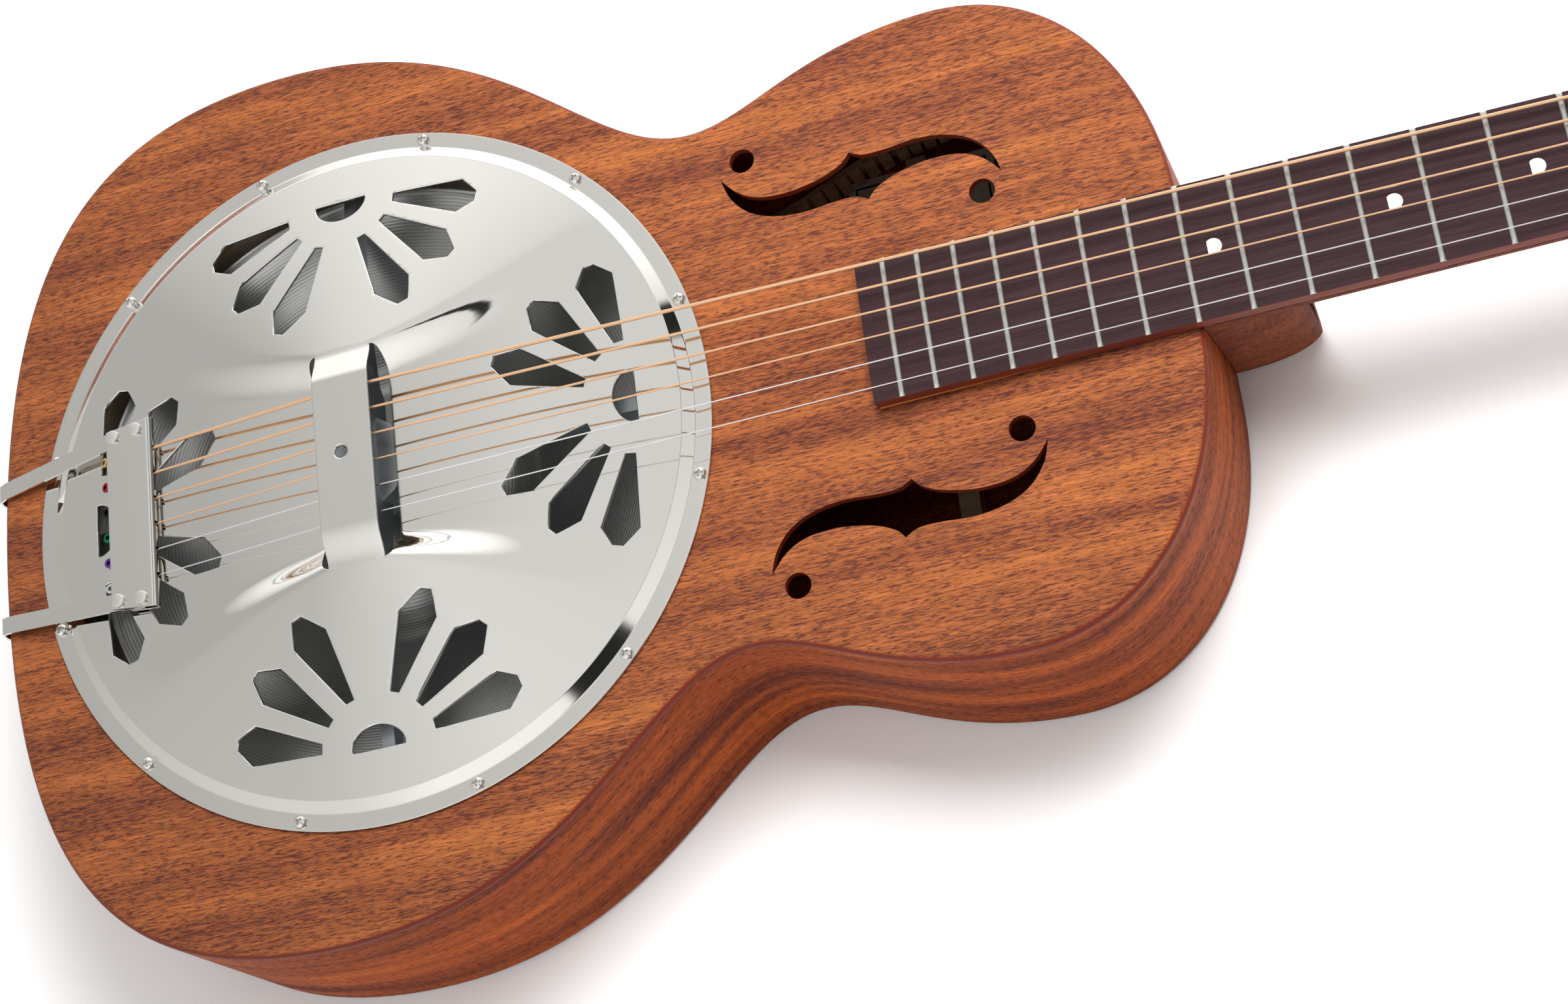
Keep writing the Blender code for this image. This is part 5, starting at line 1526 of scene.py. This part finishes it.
class BuildStrings(bpy.types.Operator):
    """Builds the six strings and their windings on the tuners' posts"""

    bl_idname = "guitar.build_strings"
    bl_label = "Build the strings"

    def execute(self, context):
        nut_top = highest("nut").z
        for i, name in enumerate(STRING_NAMES):
            radius = STRING_RADII[i]
            wire = FINISHES["bronze"] if i < 4 else FINISHES["plain"]
            slot = "phosphor_bronze" if i < 4 else "plain_steel"
            lane, at_nut = string_y(i, BRIDGE_PITCH), string_y(i, NUT_PITCH)
            side, step = post_place(i)
            end = head_point(step, side * (POST_SIDE - POST_RADIUS - GAP - radius), 7.5)
            nut_z = nut_top + radius + 0.05
            crest = TOP + SADDLE_STRING_Z + 0.1 + radius - STRING_RADII[0] + GAP
            path = [(TAIL_REAR - 1.0, lane, TOP + 8.4), (TAIL_REAR + 3.6, lane, TOP + 9.7),
                    (TAIL_FRONT - 1.2, lane, TOP + 9.9), (TAIL_FRONT - 0.2, lane, TOP + 10.0),
                    (TAIL_FRONT + 0.5, lane, TOP + 10.3),
                    (TAIL_FRONT + 1.2, lane, TOP + TAIL_STRING_Z + 0.25),
                    (-3.0, lane, crest - 0.35), (0.0, lane, crest), (3.0, lane, crest - 0.02),
                    (NUT_X - 0.5, at_nut, nut_z), (NUT_X + 2.0, at_nut, nut_z - 0.05), tuple(end)]
            string = rod(bmesh.new(), path, radius)
            fitted(piece(f"strung_{name}", string, wire), "root", slot, f"string_{name}")

            turns = coil(bmesh.new(), POST_RADIUS + radius, radius, 3.0, -side * pi / 2, 7.5 - 5.2 * radius,
                         2.05 * radius)
            bmesh.ops.transform(turns, verts=turns.verts,
                                matrix=HEAD_FRAME @ Matrix.Translation((step, side * POST_SIDE, 0.0)))
            fitted(piece(f"post_winding_{name}", turns, wire), f"post_{name}", slot)
        return {"FINISHED"}


class BuildTuners(bpy.types.Operator):
    """Builds the tuners: plates, posts, gears, worms, buttons and bushings"""

    bl_idname = "guitar.build_tuners"
    bl_label = "Build the tuners"

    def execute(self, context):
        steel = FINISHES["steel"]
        for side_name in ("bass", "treble"):
            node = f"tuner_plate_{side_name}"
            fitted(softened(node, f"{node}_look", steel, 0.25), "root", "plated_steel", node)

        post = bmesh.new()
        turned(post, [(0.0, PLATE_LOW - GAP), (POST_RADIUS, PLATE_LOW - GAP), (POST_RADIUS, 12.3),
                      (3.5, 12.9), (3.7, 13.4), (3.7, 14.4), (3.3, 15.2), (2.4, 15.6), (0.0, 15.6)], 36)
        post = piece("post", post, steel)
        hole = slab(bmesh.new(), ring(0.9, 16), -6.0, 6.0)
        bmesh.ops.rotate(hole, verts=hole.verts, matrix=Matrix.Rotation(pi / 2, 3, "X"))
        bmesh.ops.translate(hole, verts=hole.verts, vec=(0.0, 0.0, 10.2))
        post = carved(post, hole)

        teeth = context.scene.guitar_metals.gear_teeth
        outline = []
        for k in range(teeth):
            for share, radius in ((0.0, 6.1), (0.22, 6.2), (0.38, GEAR_RADIUS), (0.62, GEAR_RADIUS),
                                  (0.78, 6.2)):
                angle = 2 * pi * (k + share) / teeth
                outline.append((radius * cos(angle), radius * sin(angle)))
        gear = slab(bmesh.new(), outline, PLATE_LOW - GAP - 3.2, PLATE_LOW - GAP)
        gear = piece("gear", bevelled(gear, 0.2, 60.0, 1), steel)
        hub = bmesh.new()
        turned(hub, [(radius, PLATE_LOW - GAP - deep) for radius, deep in (
            (0.0, 4.3), (1.7, 4.3), (2.4, 3.9), (2.4, 3.2), (0.0, 3.2))], 24)
        hub = piece("hub", hub, steel)

        worm = turned(bmesh.new(), WORM_PROFILE, 32)
        worm = piece("worm", worm, steel)
        thread = bmesh.new()
        loop = [thread.verts.new(p) for p in ((1.9, 0.0, -5.3), (WORM_RADIUS, 0.0, -4.9),
                                              (WORM_RADIUS, 0.0, -4.6), (1.9, 0.0, -4.2))]
        edges = [thread.edges.new(pair) for pair in zip(loop, loop[1:] + loop[:1])]
        pitch, turns, steps = 1.6, 6, 24
        made = bmesh.ops.spin(thread, geom=loop + edges, axis=(0.0, 0.0, 1.0), cent=(0.0, 0.0, 0.0),
                              dvec=(0.0, 0.0, pitch / steps), angle=2 * pi * turns, steps=steps * turns)
        bmesh.ops.contextual_create(thread, geom=edges)
        bmesh.ops.contextual_create(thread, geom=[e for e in made["geom_last"]
                                                  if isinstance(e, bmesh.types.BMEdge)])
        thread = piece("thread", thread, steel)

        knob = turned(bmesh.new(), KNOB_PROFILE, 48)
        bmesh.ops.scale(knob, verts=knob.verts, vec=(1.0, 0.5, 1.0))
        knob = piece("knob", knob, FINISHES["button"])
        bush = turned(bmesh.new(), BUSH_PROFILE, 40, closed=True)
        bush = piece("bush", bush, steel)
        screw = build_screw(1.9, 1.0, 5.0)

        for i, name in enumerate(STRING_NAMES):
            side, u = post_place(i)
            on_post = HEAD_FRAME @ Matrix.Translation((u, side * POST_SIDE, 0.0))
            fitted(placed_copy(post, f"post_{name}_look", on_post), f"post_{name}", "plated_steel",
                   f"tuner_post_{name}")
            fitted(placed_copy(gear, f"gear_{name}", on_post), f"post_{name}", "plated_steel")
            fitted(placed_copy(hub, f"gear_screw_{name}", on_post), f"post_{name}", "plated_steel")
            fitted(placed_copy(bush, f"bushing_{name}", on_post), "root", "plated_steel")
            across = (HEAD_FRAME @ Matrix.Translation((u + WORM_AHEAD, side * POST_SIDE, WORM_W))
                      @ Matrix.Rotation(-side * pi / 2, 4, "X"))
            fitted(placed_copy(knob, f"button_{name}_look", across), f"button_{name}", "button_cream",
                   f"tuner_button_{name}")
            fitted(placed_copy(worm, f"worm_{name}", across), f"button_{name}", "plated_steel")
            fitted(placed_copy(thread, f"worm_thread_{name}", across), f"button_{name}", "plated_steel")
        turn_over = Matrix.Rotation(pi, 4, "X")
        for side in (1, -1):
            for k, u in enumerate((31.0, 62.5, 107.5, 150.0)):
                place = HEAD_FRAME @ Matrix.Translation((u, side * POST_SIDE, PLATE_LOW)) @ turn_over
                fitted(placed_copy(screw, f"tuner_plate_screw_{'bass' if side > 0 else 'treble'}_{k + 1}",
                                   place), "root", "plated_steel")
        for spare in (post, gear, hub, worm, thread, knob, bush, screw):
            bpy.data.objects.remove(spare)
        return {"FINISHED"}


# ---- Inner woodwork ----
class FinishInside(bpy.types.Operator):
    """Gives the frame's own inner pieces their wood and metal"""

    bl_idname = "guitar.finish_inside"
    bl_label = "Finish the inner pieces"

    def execute(self, context):
        for node in ("neck_block", "tail_block", "top_brace", "back_brace", "soundwell"):
            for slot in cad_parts[node].material_slots:
                slot.material = FINISHES["inside"]
        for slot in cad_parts["truss_rod"].material_slots:
            slot.material = FINISHES["steel"]
        return {"FINISHED"}


# ---- Stage ----
def studio_world():
    """Pale walls for gloss to mirror: bright to the bass side, dim past the tail, dark low past the
    neck, with two dark gaps between the panels overhead."""
    world = bpy.data.worlds.new("Pale studio")
    bpy.context.scene.world = world
    world.use_nodes = True
    nodes, links = world.node_tree.nodes, world.node_tree.links
    nodes.clear()
    place = nodes.new("ShaderNodeTexCoord")
    place.label = "Direction"
    split = nodes.new("ShaderNodeSeparateXYZ")
    split.label = "Direction's parts"
    links.new(place.outputs["Generated"], split.inputs["Vector"])

    tail_side = nodes.new("ShaderNodeMapRange")
    tail_side.label = "Dimmer past the tail"
    tail_side.inputs["From Min"].default_value = -0.50
    tail_side.inputs["From Max"].default_value = -0.24
    tail_side.inputs["To Min"].default_value = 0.52
    tail_side.inputs["To Max"].default_value = 0.80
    bass_side = nodes.new("ShaderNodeMapRange")
    bass_side.label = "Bright bass side"
    bass_side.inputs["From Min"].default_value = 0.60
    bass_side.inputs["From Max"].default_value = 0.80
    bass_side.inputs["To Max"].default_value = 0.66
    treble_side = nodes.new("ShaderNodeMapRange")
    treble_side.label = "Bright treble side"
    treble_side.inputs["From Min"].default_value = 0.30
    treble_side.inputs["From Max"].default_value = -0.60
    treble_side.inputs["To Max"].default_value = 0.36
    sides = nodes.new("ShaderNodeMath")
    sides.label = "Both bright sides"
    walls = nodes.new("ShaderNodeMath")
    walls.label = "Brightness of the walls"
    links.new(split.outputs["X"], tail_side.inputs["Value"])
    links.new(split.outputs["Y"], bass_side.inputs["Value"])
    links.new(split.outputs["Y"], treble_side.inputs["Value"])
    links.new(bass_side.outputs["Result"], sides.inputs[0])
    links.new(treble_side.outputs["Result"], sides.inputs[1])
    links.new(tail_side.outputs["Result"], walls.inputs[0])
    links.new(sides.outputs["Value"], walls.inputs[1])
    group = nodes.new("NodeFrame")
    group.label = "Walls"
    set_out(group, [place, split, tail_side, bass_side, treble_side, sides, walls], 1)

    toward = nodes.new("ShaderNodeVectorMath")
    toward.label = "Towards the dark corner"
    toward.operation = "DOT_PRODUCT"
    toward.inputs[1].default_value = (0.88, -0.48, 0.0)
    corner = nodes.new("ShaderNodeMapRange")
    corner.label = "In the dark corner"
    corner.interpolation_type = "SMOOTHSTEP"
    corner.inputs["From Min"].default_value = 0.20
    corner.inputs["From Max"].default_value = 0.60
    low_down = nodes.new("ShaderNodeMapRange")
    low_down.label = "Low down"
    low_down.interpolation_type = "SMOOTHSTEP"
    low_down.inputs["From Min"].default_value = 0.62
    low_down.inputs["From Max"].default_value = 0.50
    both = nodes.new("ShaderNodeMath")
    both.label = "Low in the dark corner"
    both.operation = "MULTIPLY"
    level = nodes.new("ShaderNodeMix")
    level.label = "Brightness of the room"
    level.inputs["B"].default_value = 0.18
    links.new(place.outputs["Generated"], toward.inputs[0])
    links.new(toward.outputs["Value"], corner.inputs["Value"])
    links.new(split.outputs["Z"], low_down.inputs["Value"])
    links.new(corner.outputs["Result"], both.inputs[0])
    links.new(low_down.outputs["Result"], both.inputs[1])
    links.new(both.outputs["Value"], level.inputs["Factor"])
    links.new(walls.outputs["Value"], level.inputs["A"])
    group = nodes.new("NodeFrame")
    group.label = "Dark corner"
    set_out(group, [toward, corner, low_down, both, level], 2)

    slanted = nodes.new("ShaderNodeVectorMath")
    slanted.label = "Across the overhead gap"
    slanted.operation = "DOT_PRODUCT"
    slanted.inputs[1].default_value = (0.71, -0.72, 0.0)
    overhead = nodes.new("ShaderNodeMath")
    overhead.label = "Off the overhead gap"
    overhead.operation = "ADD"
    overhead.inputs[1].default_value = 0.08
    either_way = nodes.new("ShaderNodeMath")
    either_way.label = "Either side of it"
    either_way.operation = "ABSOLUTE"
    first_gap = nodes.new("ShaderNodeMapRange")
    first_gap.label = "Gap between the panels overhead"
    first_gap.interpolation_type = "SMOOTHSTEP"
    first_gap.inputs["From Min"].default_value = 0.065
    first_gap.inputs["From Max"].default_value = 0.04
    across = nodes.new("ShaderNodeVectorMath")
    across.label = "Along the overhead gap"
    across.operation = "DOT_PRODUCT"
    across.inputs[1].default_value = (0.60, 0.80, 0.0)
    reaching = nodes.new("ShaderNodeMapRange")
    reaching.label = "Only towards the neck"
    reaching.interpolation_type = "SMOOTHSTEP"
    reaching.inputs["From Min"].default_value = -0.05
    reaching.inputs["From Max"].default_value = 0.02
    narrowed = nodes.new("ShaderNodeMath")
    narrowed.label = "Overhead gap's reach"
    narrowed.operation = "MULTIPLY"
    shifted = nodes.new("ShaderNodeMath")
    shifted.label = "Off the second gap"
    shifted.operation = "ADD"
    shifted.inputs[1].default_value = 0.12
    both_ways = nodes.new("ShaderNodeMath")
    both_ways.label = "Either side of the second gap"
    both_ways.operation = "ABSOLUTE"
    second_gap = nodes.new("ShaderNodeMapRange")
    second_gap.label = "Gap beyond the neck's panel"
    second_gap.interpolation_type = "SMOOTHSTEP"
    second_gap.inputs["From Min"].default_value = 0.145
    second_gap.inputs["From Max"].default_value = 0.115
    beyond = nodes.new("ShaderNodeMapRange")
    beyond.label = "Only past the overhead gap"
    beyond.inputs["From Min"].default_value = 0.15
    beyond.inputs["From Max"].default_value = 0.25
    bounded = nodes.new("ShaderNodeMath")
    bounded.label = "Second gap's reach"
    bounded.operation = "MULTIPLY"
    darker = nodes.new("ShaderNodeMath")
    darker.label = "In either gap"
    darker.operation = "MAXIMUM"
    high_up = nodes.new("ShaderNodeMapRange")
    high_up.label = "Only high up"
    high_up.interpolation_type = "SMOOTHSTEP"
    high_up.inputs["From Min"].default_value = 0.42
    high_up.inputs["From Max"].default_value = 0.52
    gaps = nodes.new("ShaderNodeMath")
    gaps.label = "Both gaps"
    gaps.operation = "MULTIPLY"
    gapped = nodes.new("ShaderNodeMix")
    gapped.label = "Panels with dark gaps"
    gapped.inputs["B"].default_value = 0.02
    links.new(place.outputs["Generated"], slanted.inputs[0])
    links.new(slanted.outputs["Value"], overhead.inputs[0])
    links.new(overhead.outputs["Value"], either_way.inputs[0])
    links.new(either_way.outputs["Value"], first_gap.inputs["Value"])
    links.new(place.outputs["Generated"], across.inputs[0])
    links.new(across.outputs["Value"], shifted.inputs[0])
    links.new(shifted.outputs["Value"], both_ways.inputs[0])
    links.new(both_ways.outputs["Value"], second_gap.inputs["Value"])
    links.new(toward.outputs["Value"], beyond.inputs["Value"])
    links.new(second_gap.outputs["Result"], bounded.inputs[0])
    links.new(beyond.outputs["Result"], bounded.inputs[1])
    links.new(across.outputs["Value"], reaching.inputs["Value"])
    links.new(first_gap.outputs["Result"], narrowed.inputs[0])
    links.new(reaching.outputs["Result"], narrowed.inputs[1])
    links.new(narrowed.outputs["Value"], darker.inputs[0])
    links.new(bounded.outputs["Value"], darker.inputs[1])
    links.new(split.outputs["Z"], high_up.inputs["Value"])
    links.new(darker.outputs["Value"], gaps.inputs[0])
    links.new(high_up.outputs["Result"], gaps.inputs[1])
    links.new(gaps.outputs["Value"], gapped.inputs["Factor"])
    links.new(level.outputs["Result"], gapped.inputs["A"])
    group = nodes.new("NodeFrame")
    group.label = "Dark gaps"
    set_out(group, [slanted, overhead, either_way, first_gap, across, reaching, narrowed, shifted,
                    both_ways, second_gap, beyond, bounded, darker, high_up, gaps, gapped], 3)

    seen = nodes.new("ShaderNodeLightPath")
    seen.label = "What the camera sees"
    plain = nodes.new("ShaderNodeMix")
    plain.label = "Plain behind the guitar"
    plain.inputs["B"].default_value = 1.0
    softer = nodes.new("ShaderNodeMath")
    softer.label = "Dimmer as soft light than as a mirror image"
    softer.operation = "MULTIPLY_ADD"
    softer.inputs[1].default_value = -0.16
    softer.inputs[2].default_value = 1.0
    shared = nodes.new("ShaderNodeMath")
    shared.label = "Room's strength"
    shared.operation = "MULTIPLY"
    links.new(seen.outputs["Is Diffuse Ray"], softer.inputs[0])
    links.new(softer.outputs["Value"], shared.inputs[0])
    links.new(plain.outputs["Result"], shared.inputs[1])
    light = nodes.new("ShaderNodeBackground")
    light.label = "Room"
    light.inputs["Color"].default_value = (1.0, 0.995, 0.98, 1.0)
    output = nodes.new("ShaderNodeOutputWorld")
    output.label = "Surroundings"
    links.new(seen.outputs["Is Camera Ray"], plain.inputs["Factor"])
    links.new(gapped.outputs["Result"], plain.inputs["A"])
    links.new(shared.outputs["Value"], light.inputs["Strength"])
    links.new(light.outputs["Background"], output.inputs["Surface"])
    group = nodes.new("NodeFrame")
    group.label = "Room"
    set_out(group, [seen, plain, softer, shared, light, output], 4)


def area_light(name, place, aim, size, power):
    """A soft square light that mirrors don't show."""
    data = bpy.data.lights.new(name, "AREA")
    data.shape = "RECTANGLE"
    data.size, data.size_y = size
    data.energy = power
    lamp = bpy.data.objects.new(name, data)
    lamp.location = place
    lamp.rotation_euler = (Vector(aim) - Vector(place)).to_track_quat("-Z", "Y").to_euler()
    lamp.visible_camera = False
    lamp.visible_glossy = False
    bpy.context.scene.collection.objects.link(lamp)
    return lamp


FLOOR_HALF = 14000.0
FLOOR_THICK = 20.0


class SetStage(bpy.types.Operator):
    """Sets the camera, the lights, the room and the floor"""

    bl_idname = "guitar.set_stage"
    bl_label = "Set the stage"

    def execute(self, context):
        stage = context.scene.guitar_stage
        data = bpy.data.cameras.new("Camera")
        data.lens = stage.lens
        data.sensor_width = 36.0
        data.sensor_fit = "HORIZONTAL"
        data.clip_end = 50.0
        camera = bpy.data.objects.new("Camera", data)
        camera.location = stage.camera_place
        camera.rotation_euler = stage.camera_turn
        context.scene.collection.objects.link(camera)
        bpy.context.scene.camera = camera
        context.scene.view_settings.view_transform = "Standard"

        studio_world()
        middle = (0.15, 0.0, 0.08)
        area_light("Overhead", (0.38, 0.24, 0.80), (0.33, 0.12, 0.08), (0.5, 0.5), stage.key_power)
        area_light("Treble side", (-0.5, -1.5, 0.8), middle, (1.2, 0.8), stage.fill_power)

        pale = bpy.data.materials.new("pale floor")
        pale.use_nodes = True
        nodes, links = pale.node_tree.nodes, pale.node_tree.links
        nodes.clear()
        output = nodes.new("ShaderNodeOutputMaterial")
        output.label = "Surface of the piece"
        shader = nodes.new("ShaderNodeBsdfPrincipled")
        shader.label = "Matt floor"
        links.new(shader.outputs["BSDF"], output.inputs["Surface"])
        shader.inputs["Base Color"].default_value = (*stage.floor, 1.0)
        shader.inputs["Roughness"].default_value = 0.9
        group = nodes.new("NodeFrame")
        group.label = "Floor"
        set_out(group, [shader, output], 1)
        bm = bmesh.new()
        corners = [(x * FLOOR_HALF, y * FLOOR_HALF) for x, y in ((-1, -1), (1, -1), (1, 1), (-1, 1))]
        slab(bm, corners, cad_box[0].z / MM - FLOOR_THICK, cad_box[0].z / MM)
        piece("floor", bm, pale)
        return {"FINISHED"}


class GuitarPanel(bpy.types.Panel):
    """Lists the guitar's settings and the steps that build it"""

    bl_idname = "GUITAR_PT_build"
    bl_label = "Resonator Guitar"
    bl_space_type = "VIEW_3D"
    bl_region_type = "UI"
    bl_category = "Guitar"

    def draw(self, context):
        for group in (context.scene.guitar_woods, context.scene.guitar_metals, context.scene.guitar_stage):
            box = self.layout.box()
            for name in group.bl_rna.properties.keys():
                if name not in ("rna_type", "name"):
                    box.prop(group, name)
        for step in STEPS:
            self.layout.operator(step.bl_idname)


STEPS = (SetStage, MakeFinishes, BuildBody, FinishInside, BuildResonator, BuildCoverplate, BuildTailpiece,
         BuildNeck, BuildStrings, BuildTuners)
CLASSES = (GuitarWoods, GuitarMetals, GuitarStage, *STEPS, GuitarPanel)


def register():
    for item in CLASSES:
        bpy.utils.register_class(item)
    bpy.types.Scene.guitar_woods = bpy.props.PointerProperty(type=GuitarWoods)
    bpy.types.Scene.guitar_metals = bpy.props.PointerProperty(type=GuitarMetals)
    bpy.types.Scene.guitar_stage = bpy.props.PointerProperty(type=GuitarStage)


def unregister():
    del bpy.types.Scene.guitar_stage
    del bpy.types.Scene.guitar_metals
    del bpy.types.Scene.guitar_woods
    for item in reversed(CLASSES):
        bpy.utils.unregister_class(item)


def main():
    register()
    bpy.ops.guitar.set_stage()
    bpy.ops.guitar.make_finishes()
    bpy.ops.guitar.build_body()
    bpy.ops.guitar.finish_inside()
    bpy.ops.guitar.build_resonator()
    bpy.ops.guitar.build_coverplate()
    bpy.ops.guitar.build_tailpiece()
    bpy.ops.guitar.build_neck()
    bpy.ops.guitar.build_strings()
    bpy.ops.guitar.build_tuners()


if __name__ == "__main__":
    main()
